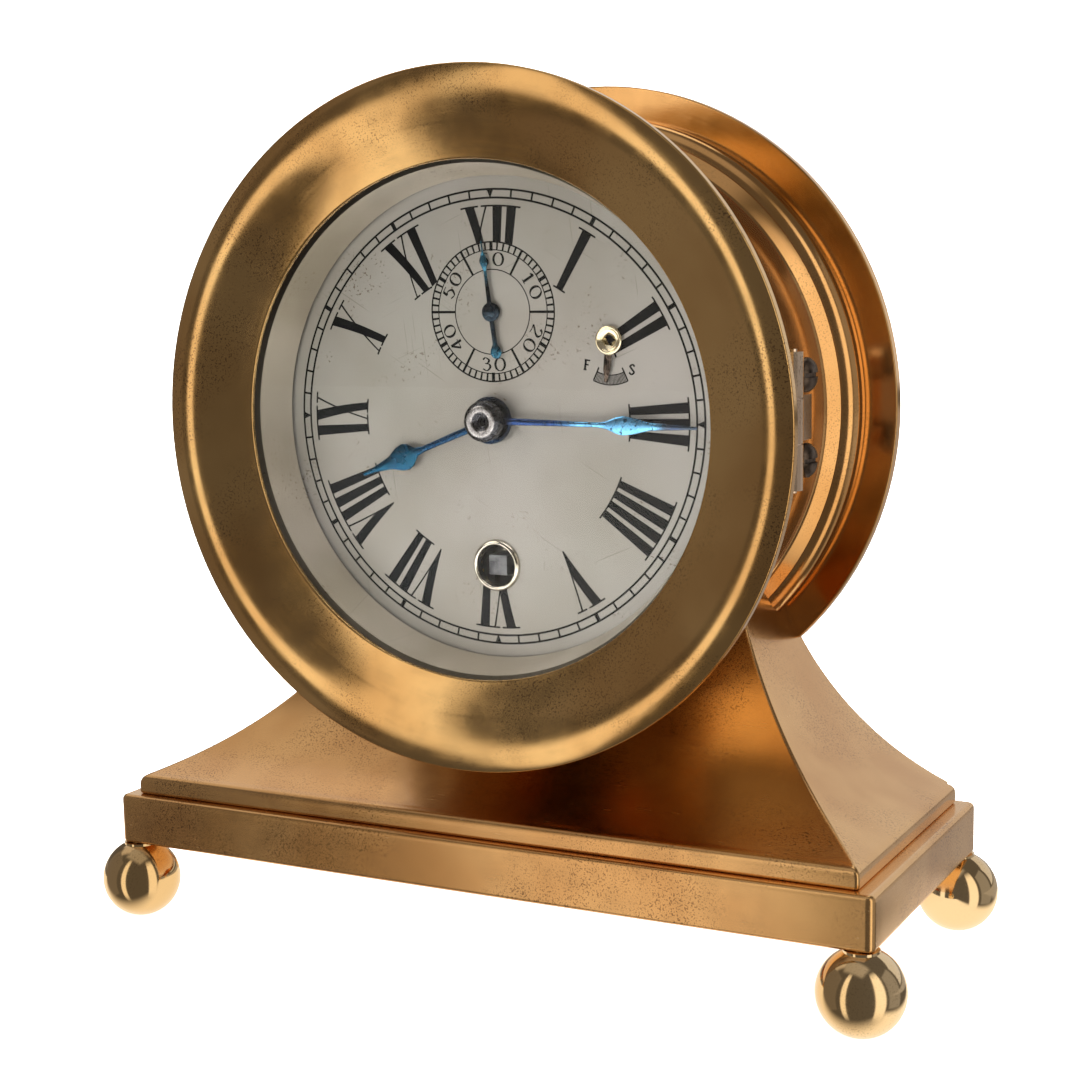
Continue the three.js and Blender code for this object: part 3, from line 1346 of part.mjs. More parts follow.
function mainspring() {
  const strip = 0.8;
  const outerR = DRUM_R - DRUM_WALL - 0.6;
  const outline = windStrip(CORE_R + 0.6, outerR, 5, strip, MAINSPRING_TURN_STEPS, 0);
  console.log('mainspring least gap mm', leastTurnGap(outline, MAINSPRING_TURN_STEPS).toFixed(3));
  return flat(outline, [], DRUM_Y[0] + 1.2, DRUM_Y[1] - 1.2, BARREL_AT);
}

const COCK_HEAD_R = 2.6;
const COCK_FOOT_R = 3.0;
const BOSS_R = 2.0; // the cock's boss, which the regulator's index turns on

function balanceCock() {
  const foot = COCK_SCREW_AT;
  const away = bearing(BALANCE_AT, foot);
  const outline = [
    ...arc(...BALANCE_AT, COCK_HEAD_R, inDegrees(away) + 60, inDegrees(away) + 300, 8),
    ...arc(...foot, COCK_FOOT_R, inDegrees(away) - 90, inDegrees(away) + 90, 6),
  ];
  const arm = flat(outline, [], ...COCK_Y);
  const boss = rod(BOSS_R, INDEX_Y[0] - 0.3, COCK_Y[0] + 0.2, 16, BALANCE_AT);
  const studAt = reach(BALANCE_AT, HAIRSPRING_R, HAIRSPRING_END_ANGLE + deg(9));
  const stud = rod(0.5, HAIRSPRING_Y[0], COCK_Y[0] + 1, 8, studAt);
  const holes = [
    rod(PIVOT_R + RUN_GAP, COCK_Y[0] + 0.6, COCK_Y[1] + 0.4, 10, BALANCE_AT),
    rod(COCK_SCREW_R + FIT_GAP, COCK_Y[0] - 0.6, COCK_Y[1] + 0.4, 8, COCK_SCREW_AT),
  ];
  const reachOut = flat([
    reach(BALANCE_AT, 1.5, away + deg(70)),
    reach(BALANCE_AT, 1.5, away - deg(60)),
    reach(studAt, 1.0, away - deg(60)),
    reach(studAt, 1.0, away + deg(20)),
    reach(studAt, 1.0, away + deg(110)),
  ], [], COCK_Y[0], COCK_Y[0] + 1.2);
  return cut(join(arm, boss, reachOut, stud), ...holes);
}

function cockScrew() {
  return screwAlongY(COCK_SCREW_AT, COCK_Y[0], -1, 1.8, 1.0, COCK_SCREW_R, 3.7);
}

function regulatorIndex() {
  const toward = bearing(BALANCE_AT, REGULATOR_AT);
  const pitchR = (INDEX_TEETH * REGULATOR_MODULE) / 2;
  const rootR = pitchR - 1.25 * REGULATOR_MODULE;
  const tipR = pitchR + 0.9 * REGULATOR_MODULE;
  const ringR = BOSS_R + 1.4;
  const step = (2 * Math.PI) / INDEX_TEETH;
  const outline = [];
  for (let k = -4; k <= 4; k += 1) {
    outline.push(reach([0, 0], rootR, toward + (k - 0.5) * step));
    outline.push(reach([0, 0], tipR, toward + k * step));
  }
  outline.push(reach([0, 0], rootR, toward + 4.5 * step));
  outline.push(reach([0, 0], rootR - 1.2, toward + 4.3 * step));
  outline.push(reach([0, 0], ringR, toward + deg(25)));
  outline.push(...arc(0, 0, ringR, inDegrees(toward) + 60, inDegrees(toward) + 150, 4));
  outline.push(reach([0, 0], CURB_PINS_R + 2, toward + deg(172)));
  outline.push(reach([0, 0], CURB_PINS_R + 2, toward + deg(188)));
  outline.push(...arc(0, 0, ringR, inDegrees(toward) + 210, inDegrees(toward) + 300, 4));
  outline.push(reach([0, 0], ringR, toward - deg(25)));
  outline.push(reach([0, 0], rootR - 1.2, toward - 4.3 * step));
  const plate = flat(outline, [circlePoints(BOSS_R + RUN_GAP, 16)], ...INDEX_Y, BALANCE_AT);
  const pins = [-0.6, 0.6].map((off) => {
    const at = reach(BALANCE_AT, CURB_PINS_R + off, toward + Math.PI);
    return rod(0.22, INDEX_Y[0] + 0.2, HAIRSPRING_Y[0] + 0.1, 6, at);
  });
  return join(plate, ...pins);
}

function regulatorArbor() {
  const frontY = DIAL_FACE_Y - 1.0;
  const underCup = DIAL_FACE_Y - RUN_GAP;
  const staff = turned([
    [0, frontY],
    [REGULATOR_CUP_R - 0.2, frontY],
    [REGULATOR_CUP_R, frontY + 0.6],
    [REGULATOR_SHAFT_R, underCup],
    [REGULATOR_SHAFT_R, INDEX_Y[0] - 0.5],
    [PIVOT_R, INDEX_Y[0] - 0.5],
    [PIVOT_R, FRONT_PLATE_Y[0] + 1.4],
    [0, FRONT_PLATE_Y[0] + 1.4],
  ], 16, REGULATOR_AT);
  const phase = gapToward(REGULATOR_AT, BALANCE_AT, REGULATOR_LEAVES);
  const leaves = pinion(REGULATOR_LEAVES, REGULATOR_MODULE, phase, ...INDEX_Y, REGULATOR_AT);
  const outline = handOutline([
    [0.6, 1.8], [0.3, REGULATOR_POINTER - 0.6], [0.12, REGULATOR_POINTER],
  ], Math.PI + REGULATOR_LEAN);
  const pointer = flat(outline, [], frontY + 0.3, underCup - 0.05, REGULATOR_AT);
  const half = 1.0;
  const [x, z] = [REGULATOR_AT[0], CLOCK_Z + REGULATOR_AT[1]];
  const socket = block(x - half, x + half, frontY - 1, frontY + 1.8, z - half, z + half);
  return cut(join(staff, leaves, pointer), socket);
}

// Motion work

const CANNON_Y = frontLayer(2.4, 0.6);
const MINUTE_WHEEL_Y = frontLayer(2.0, 1.0);
const HOUR_WHEEL_Y = frontLayer(4.8, 3.6);
const MINUTE_STUD_R = 0.8;

function cannonPinion() {
  const pipe = tube(CANNON_R[0], CANNON_R[1], MINUTE_HAND_Y[0] - 0.2, CANNON_Y[1], 14);
  const phase = gapToward(CENTRE_AT, MINUTE_AT, CANNON_LEAVES);
  const leaves = flat(
    pinionOutline(CANNON_LEAVES, MOTION_MODULE, phase),
    [circlePoints(CANNON_R[1], 14)],
    ...CANNON_Y,
  );
  return join(pipe, leaves);
}

function minuteWheel() {
  const bore = circlePoints(MINUTE_STUD_R + RUN_GAP, 10);
  const phase = toothToward(MINUTE_AT, CENTRE_AT);
  const wheel = flat(wheelOutline(MINUTE_TEETH, MOTION_MODULE, phase), [bore], ...MINUTE_WHEEL_Y, MINUTE_AT);
  const pinionPhase = gapToward(MINUTE_AT, CENTRE_AT, MINUTE_LEAVES);
  const leaves = pinionOutline(MINUTE_LEAVES, MOTION_MODULE, pinionPhase);
  const small = flat(leaves, [bore], HOUR_WHEEL_Y[0] - 0.4, HOUR_WHEEL_Y[1] + 0.6, MINUTE_AT);
  const collarY = [HOUR_WHEEL_Y[1] + 0.4, MINUTE_WHEEL_Y[0] + 0.2];
  const collar = tube(1.35, MINUTE_STUD_R + RUN_GAP, ...collarY, 10, MINUTE_AT);
  return join(wheel, small, collar);
}

function minuteStud() {
  const frontY = HOUR_WHEEL_Y[0] - 0.8;
  const post = rod(MINUTE_STUD_R, frontY, FRONT_PLATE_Y[1], 10, MINUTE_AT);
  const shoulder = rod(1.6, MINUTE_WHEEL_Y[1] + 0.2, FRONT_PLATE_Y[0], 10, MINUTE_AT);
  const head = rod(1.5, frontY - 0.5, frontY + 0.1, 10, MINUTE_AT);
  return join(post, shoulder, head);
}

function hourWheel() {
  const bore = circlePoints(HOUR_PIPE_R[1], 16);
  const wheel = flat(
    wheelOutline(HOUR_TEETH, MOTION_MODULE, toothToward(CENTRE_AT, MINUTE_AT)),
    [bore],
    ...HOUR_WHEEL_Y,
  );
  return join(wheel, tube(HOUR_PIPE_R[0], HOUR_PIPE_R[1], HOUR_HAND_Y[0] - 0.2, HOUR_WHEEL_Y[1] - 0.4, 16));
}

// Colours of the real materials

const FINISH = {
  satinBrass: { color: 0xb5813f, roughness: 0.42, metalness: 1 },
  polishedBrass: { color: 0xc08a45, roughness: 0.2, metalness: 1 },
  ballBrass: { color: 0xc9a666, roughness: 0.14, metalness: 1 },
  movementBrass: { color: 0xc7a45c, roughness: 0.35, metalness: 1 },
  silvered: { color: 0xcfccc4, roughness: 0.4, metalness: 0.9 },
  steel: { color: 0x8b8b8c, roughness: 0.3, metalness: 1 },
  darkSteel: { color: 0x2e2f36, roughness: 0.35, metalness: 1 },
  bluedSteel: { color: 0x2c5a86, roughness: 0.25, metalness: 1 },
  nickel: { color: 0xc4c3bd, roughness: 0.2, metalness: 1 },
};

const part = new THREE.Group();
part.name = 'marine_clock';

function add(name, solid, finish) {
  const material = new THREE.MeshStandardMaterial({ ...FINISH[finish], name: `${name}_${finish}` });
  const mesh = new THREE.Mesh(solidToMesh(solid), material);
  mesh.name = name;
  part.add(mesh);
}

function addGlass(name, solid) {
  const material = new THREE.MeshStandardMaterial({
    color: 0xf4f6f5,
    roughness: 0.03,
    metalness: 0,
    transparent: true,
    opacity: 0.12,
    name,
  });
  const mesh = new THREE.Mesh(solidToMesh(solid), material);
  mesh.name = name;
  part.add(mesh);
}

// Assembly, from the table up and from the back to the front

add('base_plinth', basePlinth(), 'satinBrass');
add('base_pedestal', basePedestal(), 'satinBrass');
add('foot_front_left', ballFoot(-FOOT_X, -FOOT_Y), 'ballBrass');
add('foot_front_right', ballFoot(FOOT_X, -FOOT_Y), 'ballBrass');
add('foot_rear_left', ballFoot(-FOOT_X, FOOT_Y), 'ballBrass');
add('foot_rear_right', ballFoot(FOOT_X, FOOT_Y), 'ballBrass');
add('base_screw_left', baseScrew(-BASE_SCREWS_X), 'steel');
add('base_screw_right', baseScrew(BASE_SCREWS_X), 'steel');
add('case_screw_left', caseScrew(-CASE_SCREWS_X), 'steel');
add('case_screw_right', caseScrew(CASE_SCREWS_X), 'steel');

add('case_body', caseBody(), 'polishedBrass');
add('rear_cover', rearCover(), 'polishedBrass');
COVER_SCREW_ANGLES.forEach((angle, i) => {
  add(`rear_screw_${i + 1}`, rearScrew(angle), 'darkSteel');
});
add('latch_spring', latchSpring(), 'steel');

add('bezel', bezel(), 'satinBrass');
addGlass('glass', glass());
add('reflector_ring', reflectorRing(), 'silvered');
add('hinge_leaf_bezel', hingeLeafBezel(), 'polishedBrass');
add('hinge_leaf_case', hingeLeafCase(), 'polishedBrass');
add('hinge_pin', hingePin(), 'steel');
add('hinge_screw_upper', hingeScrew(HINGE_SCREWS_Z[0]), 'darkSteel');
add('hinge_screw_lower', hingeScrew(HINGE_SCREWS_Z[1]), 'darkSteel');

add('front_plate', frontPlate(), 'movementBrass');
add('back_plate', backPlate(), 'movementBrass');
PILLARS_AT.forEach((at, i) => {
  add(`pillar_${i + 1}`, pillar(at), 'movementBrass');
});
SEAT_SCREW_ANGLES.forEach((angle, i) => {
  add(`seat_screw_${i + 1}`, seatScrew(angle), 'darkSteel');
});

add('barrel', barrel(), 'movementBrass');
add('barrel_cap', barrelCap(), 'movementBrass');
add('mainspring', mainspring(), 'steel');
add('barrel_arbor', barrelArbor(), 'steel');
add('ratchet_wheel', ratchetWheel(), 'steel');
add('click', click(), 'steel');
add('click_spring', clickSpring(), 'bluedSteel');
add('intermediate_wheel', intermediateWheel(), 'movementBrass');
add('centre_wheel', centreWheel(), 'movementBrass');
add('third_wheel', thirdWheel(), 'movementBrass');
add('fourth_wheel', fourthWheel(), 'movementBrass');
add('escape_wheel', escapeWheel(), 'movementBrass');
add('pallet_lever', palletLever(), 'steel');
add('balance_wheel', balanceWheel(), 'movementBrass');
add('hairspring', hairspring(), 'bluedSteel');
add('balance_cock', balanceCock(), 'movementBrass');
add('cock_screw', cockScrew(), 'darkSteel');
add('regulator_index', regulatorIndex(), 'steel');
add('regulator_arbor', regulatorArbor(), 'movementBrass');

add('cannon_pinion', cannonPinion(), 'steel');
add('minute_wheel', minuteWheel(), 'movementBrass');
add('hour_wheel', hourWheel(), 'movementBrass');

add('dial', dial(), 'silvered');
add('winding_collet', windingCollet(), 'nickel');
add('seconds_hand', secondsHand(), 'bluedSteel');
add('hour_hand', hourHand(), 'bluedSteel');
add('minute_hand', minuteHand(), 'bluedSteel');
add('hand_nut', handNut(), 'darkSteel');

export default part;
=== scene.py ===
# Marine clock: the looks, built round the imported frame. Metres, Z up, the dial faces -Y.
# The sections follow the clock as it is put together, from the feet to the hinge.

import math
from contextlib import contextmanager

import bmesh
import bpy
import numpy as np
from mathutils import Matrix


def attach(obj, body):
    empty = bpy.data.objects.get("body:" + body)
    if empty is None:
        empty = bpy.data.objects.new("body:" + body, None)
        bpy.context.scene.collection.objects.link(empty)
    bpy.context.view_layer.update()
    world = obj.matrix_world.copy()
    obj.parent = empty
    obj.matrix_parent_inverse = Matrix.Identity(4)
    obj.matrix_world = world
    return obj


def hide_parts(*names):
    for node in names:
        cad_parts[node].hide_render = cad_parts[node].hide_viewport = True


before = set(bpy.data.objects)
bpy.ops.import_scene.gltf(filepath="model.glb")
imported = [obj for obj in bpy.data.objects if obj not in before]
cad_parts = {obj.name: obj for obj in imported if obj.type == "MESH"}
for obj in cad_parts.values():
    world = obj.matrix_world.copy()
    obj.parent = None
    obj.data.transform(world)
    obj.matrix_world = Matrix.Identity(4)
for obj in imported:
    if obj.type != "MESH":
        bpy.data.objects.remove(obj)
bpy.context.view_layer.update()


# Ball feet
# Four solid brass balls on short necks. Each is turned in one piece with the stud that holds
# it up in the plinth, polished, and worn to a small flat where it stands.

MM = 0.001
# a crease sharper than this stays an edge, and points nearer than this, in metres, are one
SHARP_EDGE = math.radians(38)
DOUBLES = 2e-6


def placed(name, data):
    """A new object with its data, put in the scene at the origin."""
    thing = bpy.data.objects.new(name, data)
    bpy.context.scene.collection.objects.link(thing)
    return thing


def smoothed(name, mesh):
    """An object for a mesh that is shaded smooth up to its real edges."""
    mesh.shade_smooth()
    mesh.set_sharp_from_angle(angle=SHARP_EDGE)
    piece = placed(name, mesh)
    piece.modifiers.new("weighted normals", "WEIGHTED_NORMAL").keep_sharp = True
    return piece


@contextmanager
def edited(mesh):
    """A mesh opened for editing, and written back when the edit is done."""
    work = bmesh.new()
    work.from_mesh(mesh)
    yield work
    work.to_mesh(mesh)
    work.free()


def settle(name, mesh):
    """Merges a mesh's doubles, turns every face outwards, and makes it a smooth piece."""
    with edited(mesh) as work:
        bmesh.ops.remove_doubles(work, verts=work.verts, dist=DOUBLES)
        bmesh.ops.recalc_face_normals(work, faces=work.faces)
    return smoothed(name, mesh)


def skin(name, points, closed=False):
    """A mesh over a grid of points, shaped [along, around, 3]. It always closes around, and
    along too where closed is true. Rows drawn together to one point become a pole."""
    along, around = points.shape[:2]
    index = np.arange(along * around).reshape(along, around)
    if closed:
        index = np.vstack([index, index[:1]])
    low, high = index[:-1], index[1:]
    quads = np.stack([low, np.roll(low, -1, 1), np.roll(high, -1, 1), high], -1).reshape(-1, 4)
    mesh = bpy.data.meshes.new(name)
    mesh.from_pydata(points.reshape(-1, 3).tolist(), [], quads.tolist())
    return settle(name, mesh)


def eased(corners, closed=True, steps=5):
    """An outline through (across, along, ease) corners. A corner with an ease is replaced by a
    quadratic bend that starts and ends that far from it; the others stay as they are."""
    outline = []
    for i, corner in enumerate(corners):
        here = np.array(corner[:2], float)
        ease = corner[2] if len(corner) > 2 else 0
        if not ease or (not closed and i in (0, len(corners) - 1)):
            outline.append(here[None])
            continue
        back = np.array(corners[i - 1][:2], float) - here
        onward = np.array(corners[(i + 1) % len(corners)][:2], float) - here
        back *= min(ease / np.linalg.norm(back), 0.45)
        onward *= min(ease / np.linalg.norm(onward), 0.45)
        t = np.linspace(0, 1, steps + 1)[:, None]
        outline.append((1 - t) ** 2 * (here + back) + 2 * t * (1 - t) * here + t**2 * (here + onward))
    return np.vstack(outline)


def turned(name, corners, centre, axis="Y", closed=True, steps=144):
    """Corners of (radius, distance along the axis, ease) carried round the axis through centre:
    at angle a, a point stands radius times cos a and radius times sin a away from it."""
    outline = eased(corners, closed)
    angle = np.linspace(0, 2 * math.pi, steps, endpoint=False)
    radius, along = outline[:, :1], outline[:, 1:2] + 0 * angle
    across, up = radius * np.cos(angle), radius * np.sin(angle)
    order = {"X": (along, across, up), "Y": (across, along, up), "Z": (across, up, along)}[axis]
    return skin(name, (np.stack(order, -1) + np.array(centre)) * MM, closed)


def dress(piece, material, body, slot, *nodes):
    """Gives a piece its material and the body it moves with, and hides the nodes it replaces. The slot
    is not used.
    """
    piece.data.materials.clear()
    piece.data.materials.append(material)
    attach(piece, body)
    if nodes:
        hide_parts(*nodes)


def linear(code):
    """An sRGB hex colour turned to linear light."""
    value = np.array([int(code[i : i + 2], 16) / 255 for i in (0, 2, 4)])
    light = np.where(value <= 0.04045, value / 12.92, ((value + 0.055) / 1.055) ** 2.4)
    return (*light.tolist(), 1.0)


def fill(node, inputs):
    """Gives a node's inputs, by name or number, a value, a hex colour or another node's output;
    a node by itself stands for its first output."""
    for socket, value in inputs.items():
        if isinstance(value, bpy.types.Node):
            value = value.outputs[0]
        if isinstance(value, bpy.types.NodeSocket):
            node.id_data.links.new(value, node.inputs[socket])
        else:
            node.inputs[socket].default_value = linear(value) if isinstance(value, str) else value


def add(tree, kind, inputs=None, **settings):
    """Adds a node with its settings, and fills its inputs."""
    node = tree.nodes.new(kind)
    for key, value in settings.items():
        setattr(node, key, value)
    fill(node, inputs or {})
    return node


def start(name):
    """A new material with its shader; every finish below starts from one."""
    material = bpy.data.materials.new(name)
    material.use_nodes = True
    tree = material.node_tree
    place = add(tree, "ShaderNodeTexCoord").outputs["Object"]
    return material, tree, tree.nodes["Principled BSDF"], place


def round_the_axis(tree, place, centre, scale=(1.0, 1.0, 1.0)):
    """Coordinates that follow a turned surface about a Y axis through centre: distance from the
    axis, distance along it, and angle, each times its own scale."""
    off = [c * MM for c in centre]
    middle = add(tree, "ShaderNodeVectorMath", {0: place, 1: off}, operation="SUBTRACT")
    parts = add(tree, "ShaderNodeSeparateXYZ", {0: middle}).outputs
    flat = add(tree, "ShaderNodeCombineXYZ", {"X": parts["X"], "Z": parts["Z"]})
    reach = add(tree, "ShaderNodeVectorMath", {0: flat}, operation="LENGTH").outputs["Value"]
    angle = add(tree, "ShaderNodeMath", {0: parts["Z"], 1: parts["X"]}, operation="ARCTAN2")
    polar = add(tree, "ShaderNodeCombineXYZ", {"X": reach, "Y": parts["Y"], "Z": angle})
    return add(tree, "ShaderNodeVectorMath", {0: polar, 1: scale}, operation="MULTIPLY")


def mottled(tree, place, size, low, high, seed=0.0, detail=3.0, least=0.0, most=1.0):
    """Cloudy patches about `size` millimetres across: a value that goes smoothly from least to
    most as the noise rises from low to high."""
    off = (seed, seed * 0.7, seed * 1.3)
    moved = add(tree, "ShaderNodeVectorMath", {0: place, 1: off}, operation="ADD")
    grain = {"Vector": moved, "Scale": 1 / (size * MM), "Detail": detail}
    noise = add(tree, "ShaderNodeTexNoise", grain)
    span = {"Value": noise, "From Min": low, "From Max": high, "To Min": least, "To Max": most}
    return add(tree, "ShaderNodeMapRange", span, interpolation_type="SMOOTHSTEP")


def layered(tree, ground, *layers):
    """Colours laid over a ground one after another, each given as (how much, colour)."""
    for share, colour in layers:
        mix = {"Factor": share, 6: ground, 7: colour}
        ground = add(tree, "ShaderNodeMix", mix, data_type="RGBA").outputs[2]
    return ground


def tooled(tree, place, shader, scale, centre, rough, strength, depth, dull=1.0):
    """The fine lines that a tool leaves: noise drawn out by a scale for each axis, straight, or
    round a centre. They stand as high as depth and, times how dull the metal is, set the
    roughness between two values."""
    if centre is None:
        where = add(tree, "ShaderNodeMapping", {"Vector": place, "Scale": scale})
    else:
        where = round_the_axis(tree, place, centre, scale)
    lines = add(tree, "ShaderNodeTexNoise", {"Vector": where, "Scale": 1.0, "Detail": 2.0})
    worn = add(tree, "ShaderNodeMath", {0: dull, 1: lines}, operation="MULTIPLY")
    rub = {"Value": worn, "To Min": rough[0], "To Max": rough[1]}
    relief = {"Height": lines, "Strength": strength, "Distance": depth * MM}
    roughness, normal = add(tree, "ShaderNodeMapRange", rub), add(tree, "ShaderNodeBump", relief)
    fill(shader, {"Roughness": roughness, "Normal": normal})


def brass(name, bright, deep, stain, rough, scale, centre=None, speck=0.35, depth=0.002):
    """Brass with clouds of a deeper tone, fine freckles that gather in drifts, and tool lines,
    under a clear lacquer. `rough` is its lowest and highest roughness."""
    material, tree, shader, place = start(name)
    clouds = mottled(tree, place, 34, 0.36, 0.66, 0.3)
    freckles = mottled(tree, place, 0.34, 0.56, 0.66, 1.9, 1.0, most=speck)
    drifts = mottled(tree, place, 20, 0.4, 0.66, 4.1)
    held = add(tree, "ShaderNodeMath", {0: freckles, 1: drifts}, operation="MULTIPLY")
    dull = mottled(tree, place, 5, 0.3, 0.7, 7.7)
    tooled(tree, place, shader, scale, centre, rough, 0.4, depth, dull)
    tone = layered(tree, bright, (clouds, deep), (held, stain))
    fill(shader, {"Base Color": tone, "Metallic": 1.0, "Coat Weight": 0.5, "Coat Roughness": 0.08})
    return material


BALL_RADIUS, BALL_PAD, BALL_NECK = 8.3, 1.6, 3.4
STUD_RADIUS, STUD_LENGTH = 2.0, 5.8
PLINTH_LOW = 16.2
FOOT_X, FOOT_Y = 81.0, 31.9

# Turned and hand-polished yellow brass: a clear mirror with faint rings from the lathe and
# cloudy finger marks, so that the room stands in it in dark and light bands.
foot_brass = brass(
    "polished yellow brass", "F2D9AE", "E0C08C", "6B4420", (0.07, 0.15), (300, 300, 2600)
)


def ball_outline():
    """A circle from the worn pad to the neck, then the neck and the stud, as (radius, height)."""
    first = math.asin(BALL_PAD / BALL_RADIUS)
    last = math.pi - math.asin(BALL_NECK / BALL_RADIUS)
    angle = np.linspace(first, last, 44)
    drop = BALL_RADIUS * math.cos(first)
    ball = np.stack([BALL_RADIUS * np.sin(angle), drop - BALL_RADIUS * np.cos(angle)], -1)
    stud_top = PLINTH_LOW + STUD_LENGTH
    top = [(BALL_NECK, PLINTH_LOW), (STUD_RADIUS, PLINTH_LOW), (STUD_RADIUS, stud_top), (0, stud_top)]
    return np.vstack([[(0, 0)], ball, top])


for end, y in (("front", -FOOT_Y), ("rear", FOOT_Y)):
    for side, x in (("left", -FOOT_X), ("right", FOOT_X)):
        foot = turned(f"foot_{end}_{side}_ball", ball_outline(), (x, y, 0), "Z", False, 72)
        dress(foot, foot_brass, "case", "ball_brass", f"foot_{end}_{side}")


# Plinth
# A flat cast slab with eased edges and an open middle, filed and satin finished, then
# lacquered. Two slotted screws, sunk in its underside, hold the pedestal on top.


def slab_ring(half_x, front, rear, corner, height, side=14, bend=5):
    """The points of a rectangle with round corners, from front to rear, at one height."""
    turn = np.linspace(0, math.pi / 2, bend + 1)
    ring = []
    for k, (sx, y) in enumerate(((1, rear), (-1, rear), (-1, front), (1, front))):
        sy = 1 if y == rear else -1
        angle = turn + k * math.pi / 2
        x = sx * (half_x - corner) + corner * np.cos(angle)
        ring.append(np.stack([x, y - sy * corner + corner * np.sin(angle)], -1))
    t = np.linspace(0, 1, side + 2)[1:-1, None]
    points = []
    for here, there in zip(ring, ring[1:] + ring[:1]):
        points += [here, here[-1] + t * (there[0] - here[-1])]
    flat = np.vstack(points)
    return np.column_stack([flat, np.full(len(flat), height)])


def carve(piece, tool):
    """Cuts a tool's shape out of a piece, and throws the tool away."""
    tool.modifiers.clear()
    cut = piece.modifiers.new("cut", "BOOLEAN")
    cut.operation, cut.solver, cut.object = "DIFFERENCE", "EXACT", tool
    piece.modifiers.move(len(piece.modifiers) - 1, 0)
    graph = bpy.context.evaluated_depsgraph_get()
    weighted = piece.modifiers["weighted normals"]
    weighted.show_viewport = False
    graph.update()
    mesh = bpy.data.meshes.new_from_object(piece.evaluated_get(graph))
    weighted.show_viewport = True
    piece.modifiers.remove(cut)
    whole, piece.data = piece.data, mesh
    bpy.data.meshes.remove(whole)
    bpy.data.objects.remove(tool)
    mesh.shade_smooth()
    mesh.set_sharp_from_angle(angle=SHARP_EDGE)
    return piece


PLINTH_HALF_X, PLINTH_HALF_Y, PLINTH_TOP = 84.0, 34.5, 26.8
PLINTH_CORNER = 1.6
WINDOW_HALF_X, WINDOW_HALF_Y = 54.0, 22.0
BASE_SCREW_X, BASE_SCREW_SEAT, SCREW_RECESS = 58.0, PLINTH_LOW + 3, 3.2

# Cast red brass, filed and rubbed lengthways with fine emery, then lacquered: satin, with broad
# soft lights, and freckled brown where the lacquer has let the air in.
base_brass = brass(
    "satin lacquered red brass", "EDC084", "D6A46A", "5E3818", (0.22, 0.3), (70, 3200, 3200),
    speck=0.7, depth=0.0008,
)
# (inset, height) round the plinth's outside, then down through its open middle
plinth_outside = eased(
    [(6.0, PLINTH_LOW), (0.0, PLINTH_LOW, 0.9), (0.0, PLINTH_TOP, 1.3), (6.0, PLINTH_TOP)], False
)
plinth_rows = [
    slab_ring(PLINTH_HALF_X - i, -PLINTH_HALF_Y + i, PLINTH_HALF_Y - i, max(PLINTH_CORNER - i, 0.3), z)
    for i, z in plinth_outside
]
plinth_rows += [
    slab_ring(WINDOW_HALF_X, -WINDOW_HALF_Y, WINDOW_HALF_Y, 0.3, z) for z in (PLINTH_TOP, PLINTH_LOW)
]
plinth = skin("plinth_slab", np.stack(plinth_rows) * MM, True)
recess_low = PLINTH_LOW - 1
recess = [(0, recess_low), (SCREW_RECESS, recess_low)]
recess += [(SCREW_RECESS, BASE_SCREW_SEAT), (0, BASE_SCREW_SEAT)]
for x in (-BASE_SCREW_X, BASE_SCREW_X):
    carve(plinth, turned("recess", recess, (x, 0, 0), "Z", False, 48))
dress(plinth, base_brass, "case", "satin_brass", "base_plinth")


def block(name, place):
    """A tool for carving: a block two units across, set in its place and size by a matrix."""
    mesh = bpy.data.meshes.new(name)
    with edited(mesh) as work:
        bmesh.ops.create_cube(work, size=2.0)
    mesh.transform(place)
    return placed(name, mesh)


def steel(name, bright, deep, rough, scale):
    """Steel with faint clouds and fine tool lines; the colours are its bare or oxidised tones."""
    material, tree, shader, place = start(name)
    clouds = mottled(tree, place, 2.2, 0.35, 0.7, 2.2)
    tooled(tree, place, shader, scale, None, rough, 0.5, 0.002)
    fill(shader, {"Base Color": layered(tree, bright, (clouds, deep)), "Metallic": 1.0})
    return material


# Turned mild steel gone brown-black with age: dull, with a small worn light on each head.
dark_steel = steel("oxidised dark steel", "6E625A", "2E2723", (0.25, 0.5), (1800, 1800, 1800))


def slotted_screw(name, node, seat, axis, facing, head, shank, slot_width):
    """A turned screw of dark steel in a node's place: a domed head of (radius, height), a shank
    of (radius, length), and a straight slot sawn across the dome. Facing is the head's side of
    the seat."""
    along = "XYZ".index(axis)
    base, side = seat[along], list(seat)
    side[along] = 0.0
    r, h = head
    shank_radius, shank_end = shank[0], base - facing * shank[1]
    corners = [
        (0, shank_end),
        (shank_radius, shank_end, 0.2),
        (shank_radius, base),
        (r, base),
        (r, base + facing * h * 0.35, 0.3),
        (r * 0.72, base + facing * h * 0.84, 0.6),
        (r * 0.36, base + facing * h * 0.97, 0.6),
        (0, base + facing * h),
    ]
    body = turned(name, corners, side, axis, False, 48)
    size = [slot_width / 2] * 3
    size[along] = h
    size[{"X": 1, "Y": 0, "Z": 0}[axis]] = r + 1
    middle = list(seat)
    middle[along] = base + facing * h * 1.5
    place = Matrix.LocRotScale([m * MM for m in middle], None, [s * MM for s in size])
    carve(body, block("saw", place))
    dress(body, dark_steel, "case", "dark_steel", node)


BASE_HEAD, BASE_SLOT = (2.9, 1.9), 0.8
for side, x in (("left", -BASE_SCREW_X), ("right", BASE_SCREW_X)):
    names, seat = (f"plinth_screw_{side}", f"base_screw_{side}"), (x, 0, BASE_SCREW_SEAT)
    slotted_screw(*names, seat, "Z", -1, BASE_HEAD, (1.5, 13.6), BASE_SLOT)


# Pedestal
# A hollow casting with a step at its foot and hollow-curved flares up to the drum, where it is
# filed to fit the round of the case. Two screws from its hollow hold the case down.

